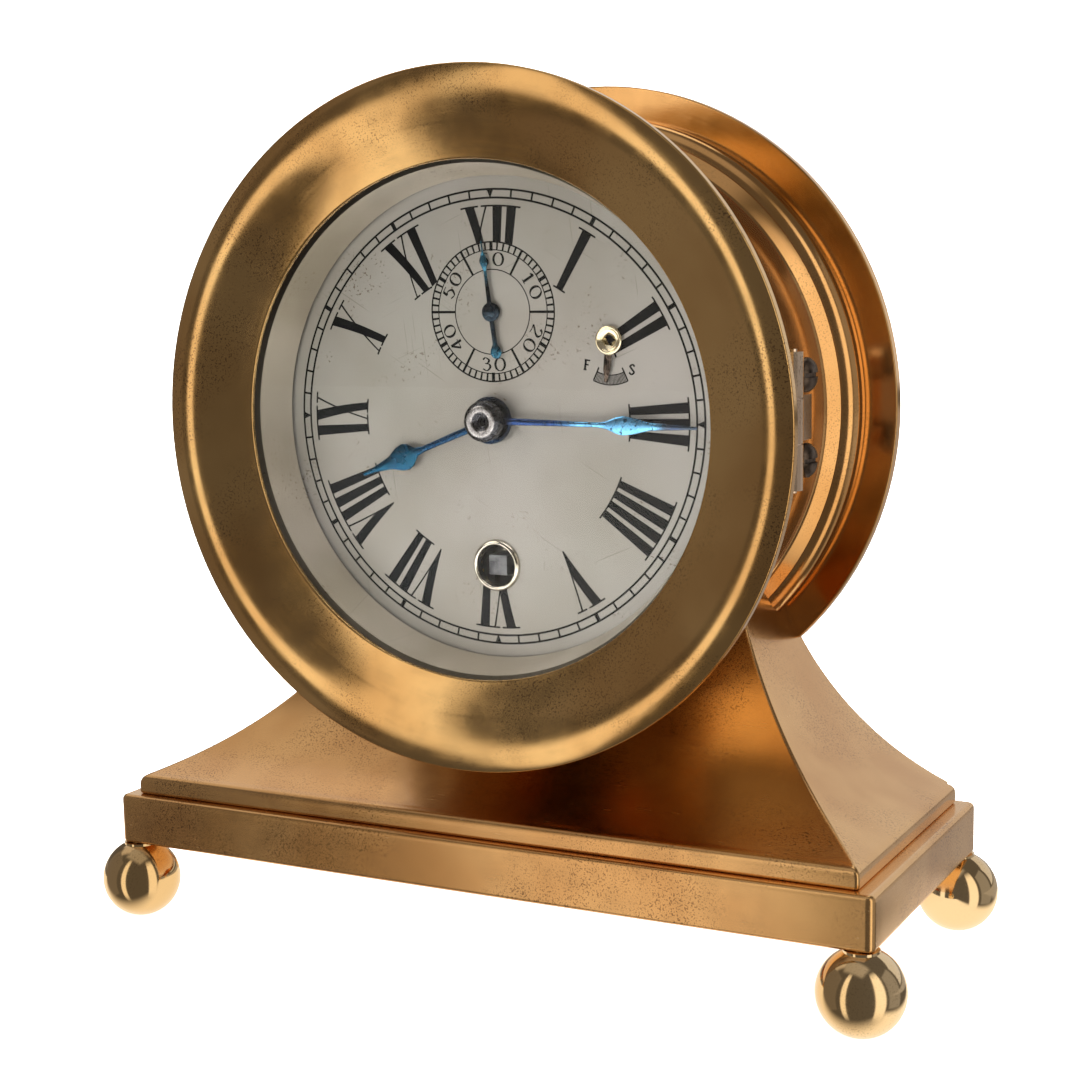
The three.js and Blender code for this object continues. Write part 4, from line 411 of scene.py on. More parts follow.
CLOCK_HEIGHT = 108.1
CLOCK = (0.0, 0.0, CLOCK_HEIGHT)
STEP_TOP, STEP_HALF_X, STEP_HALF_Y = 30.4, 80.5, 32.2
FLARE_FOOT, FLARE_TOP = STEP_TOP + 0.65, 80.0
HOLLOW_TOP, WALL = 44.0, 6.0
PEDESTAL_REAR = 32.1
DRUM_SCREW_X, DRUM_SCREW_Y = 16, 11
NECK_RADIUS, FLANGE_RADIUS = 55.4, 67.7
FLANGE_FACE, FLANGE_BACK = 30.3, 33.0
DRUM_GAP = 0.05


def bend(first, towards, last, steps):
    """Points on a quadratic curve from first to last, drawn towards a third point."""
    t = np.linspace(0, 1, steps + 1)[:, None]
    first, towards, last = (np.array(p, float) for p in (first, towards, last))
    return [tuple(p) for p in (1 - t) ** 2 * first + 2 * t * (1 - t) * towards + t**2 * last]


def arc(across, along, radius, low, high, steps=30):
    """Points on a circle's arc between two angles in degrees."""
    angle = np.radians(np.linspace(low, high, steps + 1))
    return list(zip(across + radius * np.cos(angle), along + radius * np.sin(angle)))


def drum_outside():
    """The case's outside, front to rear: the long plain neck, a slope up to a bold half round,
    a tight cove that ends square to the axis, and the flat flange with its edge."""
    return [
        (NECK_RADIUS, -4.9, 0.3),
        *bend((NECK_RADIUS, 20.1), (NECK_RADIUS, 20.85), (56.0, 21.45), 8),
        *bend((56.1, 21.54), (57.15, 22.5), (58.15, 23.28), 10),
        *arc(57.4, 27.0, 3.9, -77, 36),
        (60.9, FLANGE_FACE),
        *bend((67.3, FLANGE_FACE), (FLANGE_RADIUS, FLANGE_FACE), (FLANGE_RADIUS, 30.7), 5),
        (FLANGE_RADIUS, FLANGE_BACK, 0.4),
    ]


def side_reach(z):
    """Half the pedestal's width at a height: a hollow arc of 67.1 round a centre outside it."""
    return 105.1 - np.sqrt(67.1**2 - (92.8 - z) ** 2)


def front_reach(z):
    """Where the pedestal's front stands at a height: a hollow arc of 59.2 in front of it."""
    return np.sqrt(59.2**2 - (87.6 - z) ** 2) - 47.5


# (inset, height) up the step, whose top rolls over into the flare
step_rows = eased(
    [(3.0, PLINTH_TOP), (0.0, PLINTH_TOP, 0.7), (0.0, STEP_TOP, 1.5), (3.0, STEP_TOP + 1.1)], False
)[:-1]
flare = FLARE_FOOT + (FLARE_TOP - FLARE_FOOT) * np.linspace(0, 1, 56) ** 1.35
pedestal_rows = [slab_ring(2.0, 8.0, 12.0, 0.3, HOLLOW_TOP)]
for z in (HOLLOW_TOP, 40.0, 34.0, PLINTH_TOP):
    walled = max(z, STEP_TOP) + WALL
    half_x = min(side_reach(walled) - 1, WINDOW_HALF_X)
    front = max(front_reach(walled) + 2, -WINDOW_HALF_Y)
    pedestal_rows.append(slab_ring(half_x, front, WINDOW_HALF_Y, 1.5, z))
for i, z in step_rows:
    rear = PEDESTAL_REAR - i * 0.9
    pedestal_rows.append(slab_ring(STEP_HALF_X - i, -STEP_HALF_Y + i, rear, 0.8, z))
pedestal_rows += [slab_ring(side_reach(z), front_reach(z), PEDESTAL_REAR, 0.7, z) for z in flare]
pedestal_rows.append(slab_ring(2.0, 18.0, 22.0, 0.3, FLARE_TOP))
pedestal = np.stack(pedestal_rows)
hollow_middle, top_middle = pedestal[0].mean(0), pedestal[-1].mean(0)
pedestal[0], pedestal[-1] = hollow_middle, top_middle
pedestal = skin("pedestal_casting", pedestal * MM)
drum = [(0, -5.3), (NECK_RADIUS + DRUM_GAP, -5.3)]
drum += [(p[0] + DRUM_GAP, p[1]) for p in drum_outside()[1:]]
drum += [(FLANGE_RADIUS + DRUM_GAP, FLANGE_BACK + 1), (0, FLANGE_BACK + 1)]
carve(pedestal, turned("drum", drum, CLOCK, "Y", False, 144))
dress(pedestal, base_brass, "case", "satin_brass", "base_pedestal")
for side, x in (("left", -DRUM_SCREW_X), ("right", DRUM_SCREW_X)):
    names, seat = (f"drum_screw_{side}", f"case_screw_{side}"), (x, DRUM_SCREW_Y, HOLLOW_TOP)
    slotted_screw(*names, seat, "Z", -1, BASE_HEAD, (1.5, 13.8), BASE_SLOT)


# Case
# A spun and turned brass drum: a reduced front that the bezel's skirt covers, a plain neck, a
# round bead, a cove and a flange. Inside, a ledge carries the movement.

# Turned red brass, polished under a warm lacquer: almost a mirror, with rings too fine to count
# that pull each light into a soft streak round the drum.
case_brass = brass(
    "polished lacquered brass", "EDBC7E", "D8A362", "55300F", (0.13, 0.21), (1500, 1500, 2.0), CLOCK
)
BORE, LEDGE, FRONT_EDGE, COVER_SEAT, COVER_BORE = 49.0, 43.2, -15.0, 31.4, 59.8
case_outline = [(51.4, FRONT_EDGE, 0.3), (51.4, -4.9), *drum_outside()]
case_outline += [(COVER_BORE, FLANGE_BACK, 0.2), (COVER_BORE, COVER_SEAT), (BORE, COVER_SEAT, 0.2)]
case_outline += [(BORE, -3.4), (LEDGE, -3.4), (LEDGE, -6.4), (BORE, -6.4), (BORE, FRONT_EDGE, 0.2)]
dress(turned("case_drum", case_outline, CLOCK), case_brass, "case", "polished_brass", "case_body")


# Rear cover
# A flat disc of sheet brass, brushed in rings and let into the back of the flange. Three slotted
# steel screws hold it by its edge.

cover_brass = brass(
    "brushed sheet brass", "E3B472", "C59350", "5A3A1C", (0.22, 0.38), (1600, 1600, 1.0), CLOCK, 0.5
)
COVER_RADIUS, COVER_SCREWS_AT = 59.7, 54.35
cover_outline = [(0, COVER_SEAT), (COVER_RADIUS, COVER_SEAT)]
cover_outline += [(COVER_RADIUS, FLANGE_BACK, 0.45), (0, FLANGE_BACK)]
cover = turned("rear_disc", cover_outline, CLOCK, "Y", False)
dress(cover, cover_brass, "case", "satin_brass", "rear_cover")
for k, lean in enumerate(np.radians((90, 210, 330)), 1):
    x, z = COVER_SCREWS_AT * math.cos(lean), CLOCK_HEIGHT + COVER_SCREWS_AT * math.sin(lean)
    names, seat = (f"cover_screw_{k}", f"rear_screw_{k}"), (x, FLANGE_BACK, z)
    slotted_screw(*names, seat, "Y", 1, (2.6, 1.3), (1.0, 6.0), 0.68)


# Movement
# The going train between two round plates held apart by four pillars. The frame's own parts
# show here through nothing but the winding hole, or once the cover is off.


def repaint(material, *names):
    """Gives the frame's own parts a material."""
    for name in names:
        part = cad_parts[name]
        part.data.materials.clear()
        part.data.materials.append(material)


# Rolled plate brass, lacquered and grained straight: pale yellow, satin.
plate_brass = brass(
    "grained plate brass", "DDBE85", "C9A262", "70502A", (0.24, 0.4), (120, 2000, 2000), speck=0.3
)
pillars = [f"pillar_{k}" for k in range(1, 5)]
repaint(plate_brass, "front_plate", "back_plate", "balance_cock", *pillars)

# Cut wheel brass, its faces brushed in rings round the clock's axis: brighter than the plates.
wheel_brass = brass(
    "cut wheel brass", "E4C488", "CFA766", "7A5A30", (0.16, 0.3), (1800, 1800, 1.0), CLOCK, 0.2
)
wheels = [w + "_wheel" for w in "intermediate centre third fourth escape minute hour balance".split()]
repaint(wheel_brass, "barrel", "barrel_cap", *wheels)

EVEN_LINES = (1500, 1500, 1500)
# Bright turned steel, hardened and polished: cool grey with a clear light along each edge.
bright_steel = steel("polished bright steel", "C9C6C2", "A5A19C", (0.12, 0.28), EVEN_LINES)
repaint(bright_steel, "ratchet_wheel", "click", "pallet_lever", "cannon_pinion")

# The winding square is plain grey steel, dulled by its key.
worn_steel = steel("grey steel worn by the key", "77777A", "48484C", (0.35, 0.5), EVEN_LINES)
repaint(worn_steel, "barrel_arbor")

# Spring steel let down to blue: the heat's colour runs from purple to bright blue.
spring_steel = steel(
    "blue tempered spring steel", "3F5A96", "2A2E5C", (0.18, 0.3), (900, 2400, 900)
)
springs = ("mainspring", "hairspring", "click_spring", "latch_spring")
repaint(spring_steel, "regulator_index", *springs)
repaint(dark_steel, "seat_screw_1", "seat_screw_2", "cock_screw")


# Dial
# A flat brass disc, silvered and lacquered, held by three feet. It is rubbed in one direction
# with a soft brush, and has gathered hair scratches and a few brown specks.

SECONDS = (0.0, 21.2)
WINDING = (0.0, -29.2)
REGULATOR = (25.5, 15.8)
DIAL_FACE = -16.2


def silvered(name, bright, deep, mark, rough, scale, centre=None, scratch=0.5):
    """Silver rubbed on brass: a warm pale grey, half matt, with fine lines, hair scratches that
    run every way and small brown specks."""
    material, tree, shader, place = start(name)
    clouds = mottled(tree, place, 26, 0.35, 0.68, 3.3)
    fine = mottled(tree, place, 0.6, 0.64, 0.72, 5.2, 1.0, most=0.75)
    drifts = mottled(tree, place, 13, 0.5, 0.66, 9.4)
    specks = add(tree, "ShaderNodeMath", {0: fine, 1: drifts}, operation="MULTIPLY")
    scratches = 0.0
    for turn in (0.4, 1.7, 2.6):
        leaned = add(tree, "ShaderNodeMapping", {"Vector": place, "Rotation": (0, turn, 0)})
        long = add(tree, "ShaderNodeMapping", {"Vector": leaned, "Scale": (45, 1, 2300)})
        noise = add(tree, "ShaderNodeTexNoise", {"Vector": long, "Scale": 1.0, "Detail": 1.0})
        ridge = {"Value": noise, "From Min": 0.71, "From Max": 0.77, "To Max": scratch}
        hair = add(tree, "ShaderNodeMapRange", ridge)
        scratches = add(tree, "ShaderNodeMath", {0: scratches, 1: hair}, operation="MAXIMUM")
    tone = layered(tree, bright, (clouds, deep), (specks, mark), (scratches, "6F695F"))
    tooled(tree, place, shader, scale, centre, rough, 0.4, 0.002)
    fill(shader, {"Base Color": tone, "Metallic": 0.55})
    return material


dial_silver = silvered(
    "silvered brass dial", "A39F9A", "98938C", "5A4A3A", (0.4, 0.56), (160, 1, 2400)
)
repaint(dial_silver, "dial")


# Winding collet
# A turned ring of brass, nickelled and polished, pressed in the dial round the winding hole. Its
# lip is rounded so that the key doesn't catch.

bright_nickel = steel("polished nickel", "D8D2C6", "B3AB9C", (0.08, 0.2), EVEN_LINES)
collet_outline = [(4.2, -15.0), (4.2, -16.8, 0.2), (4.55, -17.05, 0.25), (5.05, -16.8, 0.3)]
collet_outline += [(5.3, DIAL_FACE, 0.1), (4.5, DIAL_FACE), (4.5, -15.0)]
collet = turned("collet_ring", collet_outline, (0, 0, CLOCK_HEIGHT + WINDING[1]), "Y", True, 72)
dress(collet, bright_nickel, "case", "nickel", "winding_collet")


# Regulator
# A turned brass arbor with a cupped head and a square hole for its key. A flat steel pointer is
# riveted under the head, and teeth cut round its shaft turn the index behind the dial.

# how much of a blade's thickness its rounded crown takes
CROWN = 0.55


def hand_blade(widths, back, front, lean, middle=(0.0, 0.0)):
    """A blade along a hand's length. Its half width follows smooth steps through (half width,
    distance) pairs; across it the front is a low arch over a flat back."""
    widths = np.array(widths, float)
    near, far = widths[0, 1], widths[-1, 1]
    distance = np.unique(np.concatenate([np.linspace(near, far, 140), widths[:, 1]]))
    half = np.interp(distance, widths[:, 1], widths[:, 0])
    kernel = np.array([1, 2, 3, 2, 1]) / 9
    half = np.convolve(np.pad(half, 2, mode="edge"), kernel, mode="valid")
    angle = np.linspace(0, 2 * math.pi, 20, endpoint=False)
    side = np.sign(np.cos(angle)) * np.abs(np.cos(angle)) ** 0.7
    arch = np.sin(angle)
    thick = back - front
    rise = np.where(arch > 0, thick * (1 - CROWN) + thick * CROWN * np.abs(arch) ** 0.8, 0)
    rise = np.where(np.abs(arch) < 1e-9, thick * 0.3, rise)
    across = half[:, None] * side
    # the blade thins with its width towards the tip, and its two ends draw in to a point
    deep = rise[None] * np.clip(half[:, None] / 0.5, 0.45, 1)
    along = distance[:, None] + 0 * angle
    x = across * math.cos(lean) + along * math.sin(lean) + middle[0]
    z = -across * math.sin(lean) + along * math.cos(lean) + middle[1] + CLOCK_HEIGHT
    points = np.stack([x, back - deep, z], -1)
    ends = points.mean(1, keepdims=True)[[0, -1]] + 0 * points[[0, -1]]
    return skin("blade", np.vstack([ends[:1], points, ends[1:]]) * MM)


def joined(name, *pieces):
    """Several closed shells kept as one piece."""
    mesh = bpy.data.meshes.new(name)
    with edited(mesh) as work:
        for piece in pieces:
            work.from_mesh(piece.data)
            bpy.data.objects.remove(piece)
    return smoothed(name, mesh)


def behind(name, node, front):
    """A copy of a frame part's mesh behind a plane square to Y, closed where it is cut."""
    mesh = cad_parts[node].data.copy()
    plane = {"plane_co": (0, front * MM, 0), "plane_no": (0, 1, 0)}
    with edited(mesh) as work:
        bmesh.ops.remove_doubles(work, verts=work.verts, dist=DOUBLES)
        whole = work.verts[:] + work.edges[:] + work.faces[:]
        bmesh.ops.bisect_plane(work, geom=whole, clear_inner=True, **plane)
        bmesh.ops.holes_fill(work, edges=[e for e in work.edges if e.is_boundary])
    return settle(name, mesh)


def ringed(tree, place, middle, ground, *rings):
    """Colours in rings round an axis: each next one takes over between two radii in mm."""
    reach = add(tree, "ShaderNodeSeparateXYZ", {0: round_the_axis(tree, place, middle)}).outputs["X"]
    layers = []
    for low, high, colour in rings:
        span = {"Value": reach, "From Min": low * MM, "From Max": high * MM}
        edge = add(tree, "ShaderNodeMapRange", span, interpolation_type="SMOOTHSTEP")
        layers.append((edge, colour))
    return layered(tree, ground, *layers)


REGULATOR_AXIS = (REGULATOR[0], 0.0, CLOCK_HEIGHT + REGULATOR[1])
CUP_EDGE, KEY_HOLE = 2.85, 0.98
cup_outline = [(0, -16.75), (1.9, -16.9, 0.3), (2.4, -17.35, 0.3), (CUP_EDGE, -17.1, 0.25)]
cup_outline += [(2.6, -16.55, 0.2), (1.4, -16.5), (1.4, -15.6), (0, -15.6)]
cup = turned("cup", cup_outline, REGULATOR_AXIS, "Y", False, 48)
punched_at = Matrix.Translation((REGULATOR[0] * MM, -17.0 * MM, REGULATOR_AXIS[2] * MM))
punch_turn = Matrix.Rotation(math.radians(45), 4, "Y")
punch_size = Matrix.Diagonal((KEY_HOLE * MM, 1.1 * MM, KEY_HOLE * MM, 1.0))
carve(cup, block("punch", punched_at @ punch_turn @ punch_size))
POINTER = [(0.75, 1.0), (0.75, 5.7), (0.45, 6.7), (0.3, 8.1)]
pointer = hand_blade(POINTER, -16.5, -16.9, math.radians(186), REGULATOR)
regulator = joined("regulator_arbor_cupped", behind("shaft", "regulator_arbor", -15.7), cup, pointer)

# Pale yellow brass, turned bright, on a pointer of steel gone brown with age.
cup_brass, tree, shader, place = start("pale turned brass and browned steel")
turned_brass = layered(tree, "E6D9BA", (mottled(tree, place, 3, 0.35, 0.7, 3.9), "D6C7A0"))
filed_steel = layered(tree, "5E5148", (mottled(tree, place, 0.9, 0.4, 0.6, 8.2), "26201D"))
past_cup = (CUP_EDGE - 0.02, CUP_EDGE + 0.04, filed_steel)
fill(
    shader,
    {
        "Base Color": ringed(tree, place, REGULATOR_AXIS, turned_brass, past_cup),
        "Roughness": mottled(tree, place, 2, 0.3, 0.7, 1.3, least=0.2, most=0.28),
        "Metallic": 1.0,
    },
)
dress(regulator, cup_brass, "regulator_group", "movement_brass", "regulator_arbor")


# Dial printing
# Black wax let into cuts in the dial: the minute track, Roman numerals with their feet to the
# centre, the seconds track and its numerals, and the regulator's short scale.

INK_LINE = 0.4
NUMERAL_FOOT, NUMERAL_HEAD = 29.5, 41.8
TRACK_IN, TRACK_OUT = 43.35, 45.0
SECONDS_OUT, SECONDS_MIDDLE, SECONDS_IN = 13.64, 12.1, 8.3
COLLET_EDGE = 5.2
ink = []


def ribbon(left, right):
    """Keeps one strip of ink between two edges, each an array of (x, z) points on the dial."""
    ink.append((np.array(left, float), np.array(right, float)))


def at_angle(radius, angle, middle=(0.0, 0.0)):
    """The point at a radius and a clockwise angle from twelve o'clock round a middle."""
    return np.stack([middle[0] + radius * np.sin(angle), middle[1] + radius * np.cos(angle)], -1)


def circle(radius, width, middle=(0.0, 0.0), first=0.0, last=360.0, steps=360):
    """A line of ink round a middle, between two clockwise angles in degrees."""
    angle = np.radians(np.linspace(first, last, steps + 1))
    ribbon(at_angle(radius - width / 2, angle, middle), at_angle(radius + width / 2, angle, middle))


def tick(inner, outer, degrees, foot, head, middle=(0.0, 0.0)):
    """A mark from an inner to an outer radius, foot wide at the inner end and head at the outer."""
    along = at_angle(1.0, math.radians(degrees))
    across = at_angle(1.0, math.radians(degrees + 90)) / 2
    low, high = middle + along * inner, middle + along * outer
    ribbon(*[[low + side * across * foot, high + side * across * head] for side in (-1, 1)])


circle(TRACK_IN, INK_LINE)
circle(TRACK_OUT, INK_LINE)
for minute in range(60):
    if minute % 15 == 0:
        tick(TRACK_IN, TRACK_OUT, minute * 6, 0.1, 1.5)
    elif minute % 5 == 0:
        tick(TRACK_IN, TRACK_OUT, minute * 6, 0.85, 0.85)
    else:
        tick(TRACK_IN, TRACK_OUT, minute * 6, INK_LINE, INK_LINE)

circle(SECONDS_OUT, 0.3, SECONDS)
circle(SECONDS_MIDDLE, 0.2, SECONDS)
circle(SECONDS_IN, 0.2, SECONDS)
for second in range(60):
    if second % 10 == 5:
        tick(SECONDS_IN, SECONDS_OUT, second * 6, 0.46, 0.52, SECONDS)
    elif second % 10 == 0:
        tick(SECONDS_MIDDLE - 0.2, SECONDS_OUT, second * 6, 0.7, 0.7, SECONDS)
    else:
        tick(SECONDS_MIDDLE, SECONDS_OUT, second * 6, 0.36, 0.42, SECONDS)

# Edges of each letter's strokes as (across at the head, share of the height down from it), left
# edge then right; V's thick stroke narrows to its point below the fork.
THICK, NUMERAL_GAP, SERIF = 2.1, 1.05, 0.95
LETTER_WIDTH = {"I": THICK, "V": 5.0, "X": 5.2}
LETTER_STROKES = {
    "I": [([(0, 0), (0, 1)], [(THICK, 0), (THICK, 1)])],
    "V": [
        ([(0, 0), (1.48, 0.63), (2.35, 1)], [(THICK, 0), (3.58, 0.63), (2.75, 1)]),
        ([(4.6, 0), (3.25, 0.63)], [(5.0, 0), (3.58, 0.63)]),
    ],
    "X": [
        ([(0, 0), (3.1, 1)], [(THICK, 0), (5.2, 1)]),
        ([(4.6, 0), (0.25, 1)], [(5.0, 0), (0.65, 1)]),
    ],
}
LETTER_HEADS = {"I": [(0, THICK)], "V": [(0, THICK), (4.6, 5.0)], "X": [(0, THICK), (4.6, 5.0)]}
LETTER_FEET = {"I": [(0, THICK)], "V": [], "X": [(0.3, 0.7), (3.1, 5.2)]}


def on_the_hour(hour, across, down, width):
    """A point of a numeral: across millimetres at its head, and a share of its height down."""
    radius = NUMERAL_HEAD + (NUMERAL_FOOT - NUMERAL_HEAD) * np.asarray(down, float)
    off_middle = (np.asarray(across, float) - width / 2) / NUMERAL_HEAD
    return at_angle(radius, math.radians(hour * 30) + off_middle)


def clear_of_rings(edge):
    """An edge cut off where it would run into the seconds ring or under the winding collet."""
    far = np.hypot(edge[:, 0] - SECONDS[0], edge[:, 1] - SECONDS[1]) > SECONDS_OUT
    far &= np.hypot(edge[:, 0] - WINDING[0], edge[:, 1] - WINDING[1]) > COLLET_EDGE
    last = len(edge) if far.all() else max(int(np.argmin(far)), 1)
    return edge[np.minimum(np.arange(len(edge)), last - 1)]


for hour, numeral in enumerate("I II III IIII V VI VII VIII IX X XI XII".split(), 1):
    width = sum(LETTER_WIDTH[c] for c in numeral) + NUMERAL_GAP * (len(numeral) - 1)
    at = 0.0
    heads, feet = [], []
    for letter in numeral:
        for edges in LETTER_STROKES[letter]:
            down = np.linspace(0, edges[0][-1][1], 120)
            sides = []
            for edge in edges:
                across = np.interp(down, [p[1] for p in edge], [p[0] for p in edge])
                sides.append(clear_of_rings(on_the_hour(hour, at + across, down, width)))
            ribbon(*sides)
        for serifs, spans in ((heads, LETTER_HEADS), (feet, LETTER_FEET)):
            serifs += [(at + low - SERIF, at + high + SERIF) for low, high in spans[letter]]
        at += LETTER_WIDTH[letter] + NUMERAL_GAP
    for serifs, down in ((heads, 0.0), (feet, 1.0)):
        for low, high in serifs:
            across = np.linspace(low, high, 9)
            outer, inner = (on_the_hour(hour, across, down + d, width) for d in (-0.014, 0.014))
            if np.all(clear_of_rings(inner) == inner):
                ribbon(inner, outer)


def through(points, steps=9):
    """A smooth line through points: between two of them it follows the Catmull-Rom cubic."""
    p = np.array(points, float)
    if len(p) == 2:
        return p[0] + np.linspace(0, 1, 4)[:, None] * (p[1] - p[0])
    padded = np.vstack([2 * p[0] - p[1], p, 2 * p[-1] - p[-2]])
    a, b, c, d = (padded[k : k + len(p) - 1, None] for k in range(4))
    t = np.linspace(0, 1, steps, endpoint=False)[None, :, None]
    square, cube = 2 * a - 5 * b + 4 * c - d, 3 * b - a - 3 * c + d
    cubic = 0.5 * (2 * b + (c - a) * t + square * t**2 + cube * t**3)
    return np.vstack([cubic.reshape(-1, 2), p[-1:]])


def pen(line, place, size, degrees, thick, thin):
    """One stroke of a broad pen: widest where it runs up or down, and thin where it runs across.
    The line is in a letter's own square, then sized, turned clockwise and set in place."""
    path = through(line) * size
    run = np.gradient(path, axis=0)
    run /= np.linalg.norm(run, axis=1)[:, None]
    half = (thin + (thick - thin) * np.abs(run[:, 1:]) ** 1.6) / 2
    off = np.column_stack([-run[:, 1], run[:, 0]]) * half
    c, s = math.cos(math.radians(degrees)), math.sin(math.radians(degrees))
    turn = np.array([[c, -s], [s, c]])
    ribbon((path + off) @ turn + place, (path - off) @ turn + place)


# The strokes of each sign, through (across, up) points in a square one unit high.
nought = [(0.34 * math.sin(a), 0.47 * math.cos(a)) for a in np.radians(np.linspace(0, 360, 13))]
SIGNS = {
    "0": [nought],
    "1": [[(0, -0.47), (0, 0.48)], [(-0.2, 0.28), (0, 0.47)], [(-0.18, -0.47), (0.18, -0.47)]],
    "2": [
        [(-0.25, 0.24), (-0.14, 0.43), (0.06, 0.47), (0.24, 0.28), (0.14, 0.02)]
        + [(-0.1, -0.22), (-0.28, -0.44)],
        [(-0.28, -0.44), (0.0, -0.4), (0.28, -0.44)],
    ],
    "3": [
        [(-0.24, 0.33), (-0.05, 0.47), (0.2, 0.3), (0.1, 0.09), (-0.08, 0.05)],
        [(-0.08, 0.05), (0.22, -0.02), (0.27, -0.24), (0.05, -0.47), (-0.25, -0.34)],
    ],
    "4": [[(0.12, -0.47), (0.12, 0.47)], [(0.12, 0.47), (-0.3, -0.2)], [(-0.3, -0.2), (0.32, -0.2)]],
    "5": [
        [(-0.16, 0.45), (0.22, 0.45)],
        [(-0.16, 0.45), (-0.2, 0.05)],
        [(-0.2, 0.05), (0.02, 0.14), (0.27, -0.12), (0.08, -0.46), (-0.24, -0.35)],
    ],
    "6": [
        [(0.22, 0.42), (0.0, 0.44), (-0.22, 0.15), (-0.28, -0.16), (-0.12, -0.45)]
        + [(0.12, -0.45), (0.27, -0.18)],
        [(0.27, -0.18), (0.12, 0.08), (-0.08, 0.06), (-0.26, -0.12)],
    ],
    "F": [[(-0.16, -0.47), (-0.16, 0.47)], [(-0.3, 0.46), (0.3, 0.46)]]
    + [[(-0.16, 0.02), (0.18, 0.02)], [(-0.3, -0.47), (0.02, -0.47)]],
    "S": [
        [(0.24, 0.32), (0.02, 0.47), (-0.22, 0.28), (0.0, 0.02), (0.24, -0.24)]
        + [(0.0, -0.47), (-0.26, -0.32)]
    ],
}
SECONDS_SIGN, SECONDS_SIGN_AT, HALF_PITCH = (3.1, 2.7), 10.25, 1.55
for second in (10, 20, 30, 40, 50, 60):
    lean = 0 if second == 30 else second * 6
    middle = at_angle(SECONDS_SIGN_AT, math.radians(second * 6), SECONDS)
    c, s = math.cos(math.radians(lean)), math.sin(math.radians(lean))
    for sign, off in zip(str(second), (-HALF_PITCH, HALF_PITCH)):
        for line in SIGNS[sign]:
            pen(line, middle + np.array([c, -s]) * off, SECONDS_SIGN, lean, 0.5, 0.16)

SCALE_FIRST, SCALE_LAST, SCALE_IN, SCALE_OUT = 155, 205, 6.7, 8.6
for sign, place in (("F", (20.5, 11.0)), ("S", (30.0, 10.2))):
    for line in SIGNS[sign]:
        pen(line, np.array(place), (2.0, 2.0), 8, 0.42, 0.28)
for radius in (SCALE_IN, SCALE_OUT):
    circle(radius, 0.2, REGULATOR, SCALE_FIRST, SCALE_LAST, 24)
for k in range(-12, 13):
    tick(SCALE_IN, SCALE_OUT, 180 + k * 2.05, 0.12, 0.16, REGULATOR)
for degrees in (SCALE_FIRST, SCALE_LAST):
    tick(SCALE_IN - 0.9, SCALE_OUT, degrees, 0.3, 0.3, REGULATOR)


def printed(name, strips, face, depth):
    """All strips of ink as one mesh: pairs of edges become rows of quads just proud of the face,
    with a wall round them as thick as the wax."""
    points, quads, count = [], [], 0
    for left, right in strips:
        n = len(left)
        points += [left, right]
        k = np.arange(n - 1)
        quads.append(np.stack([count + k, count + k + 1, count + n + k + 1, count + n + k], -1))
        count += 2 * n
    flat = np.vstack(points)
    at = np.column_stack([flat[:, 0], np.full(len(flat), face), flat[:, 1] + CLOCK_HEIGHT]) * MM
    mesh = bpy.data.meshes.new(name)
    mesh.from_pydata(at.tolist(), [], np.vstack(quads).tolist())
    with edited(mesh) as work:
        bmesh.ops.dissolve_degenerate(work, dist=1e-7, edges=work.edges)
        for patch in work.faces:
            if patch.normal.y > 0:
                patch.normal_flip()
    piece = placed(name, mesh)
    wall = piece.modifiers.new("wax", "SOLIDIFY")
    wall.thickness = depth * MM
    wall.offset = 1.0
    return piece


# Black engraver's wax: nearly black with a blue cast, half matt, thinner and greyer in places.
wax, tree, shader, place = start("black engraving wax")
worn = (place, 1.2, 0.45, 0.75, 0.9)
fill(
    shader,
    {
        "Base Color": layered(tree, "060609", (mottled(tree, *worn), "0F0F15")),
        "Roughness": mottled(tree, *worn, least=0.55, most=0.8),
        "Specular IOR Level": 0.15,
    },
)
dress(printed("dial_printing", ink, DIAL_FACE - 0.01, 0.02), wax, "case", "silvered_brass")


# Hands
# Spade hands cut from sheet steel, filed to a low crown, polished and blued by heat. Each is
# riveted on its own collet; a round nut on the cannon pinion holds the minute hand.


def blued(name, bright, mid, near, reach, middle):
    """Steel polished and heated until it turns, coloured in rings by radius: darkest round the hub,
    brightest over a reach of radii in millimetres, where a painted highlight stands for the glints on
    the blade, and worn off past the spade; small black specks have come through."""
    material, tree, shader, place = start(name)
    # the brightest ring is a painted highlight: the glints on the blade, laid in as colour
    rings = (4.2, 6.5, mid), (*reach, bright), (35.0, 38.5, "4C5663")
    worn = mottled(tree, place, 3, 0.3, 0.7, 1.1, most=0.45)
    specks = mottled(tree, place, 0.7, 0.62, 0.68, 6.3, 1.0, most=0.75)
    film = ringed(tree, place, middle, near, *rings)
    dull = mottled(tree, place, 2.5, 0.3, 0.7, 2.4, least=0.2, most=0.3)
    tone = layered(tree, film, (worn, mid), (specks, "10141C"))
    fill(shader, {"Base Color": tone, "Roughness": dull, "Metallic": 1.0})
    return material


# The hour and seconds hands were taken a little further: a dull, dark blue-green. The minute hand
# stopped at slate, with a painted highlight of bright sky blue from its middle to its spade for the
# glints on its blade.
SECONDS_AXIS = (SECONDS[0], 0.0, CLOCK_HEIGHT + SECONDS[1])
hour_teal = blued("dark heat blued steel", "1F4F68", "1E3C5A", "1B1E28", (14.0, 21.0), CLOCK)
seconds_teal = blued(
    "grey blue tempered steel", "3A7590", "40525F", "2A2E36", (5.5, 8.0), SECONDS_AXIS
)
minute_blue_painted_glint = blued("heat blued steel with a painted glint", "78BFEE", "2C4270", "1E222E", (14.0, 23.0), CLOCK)

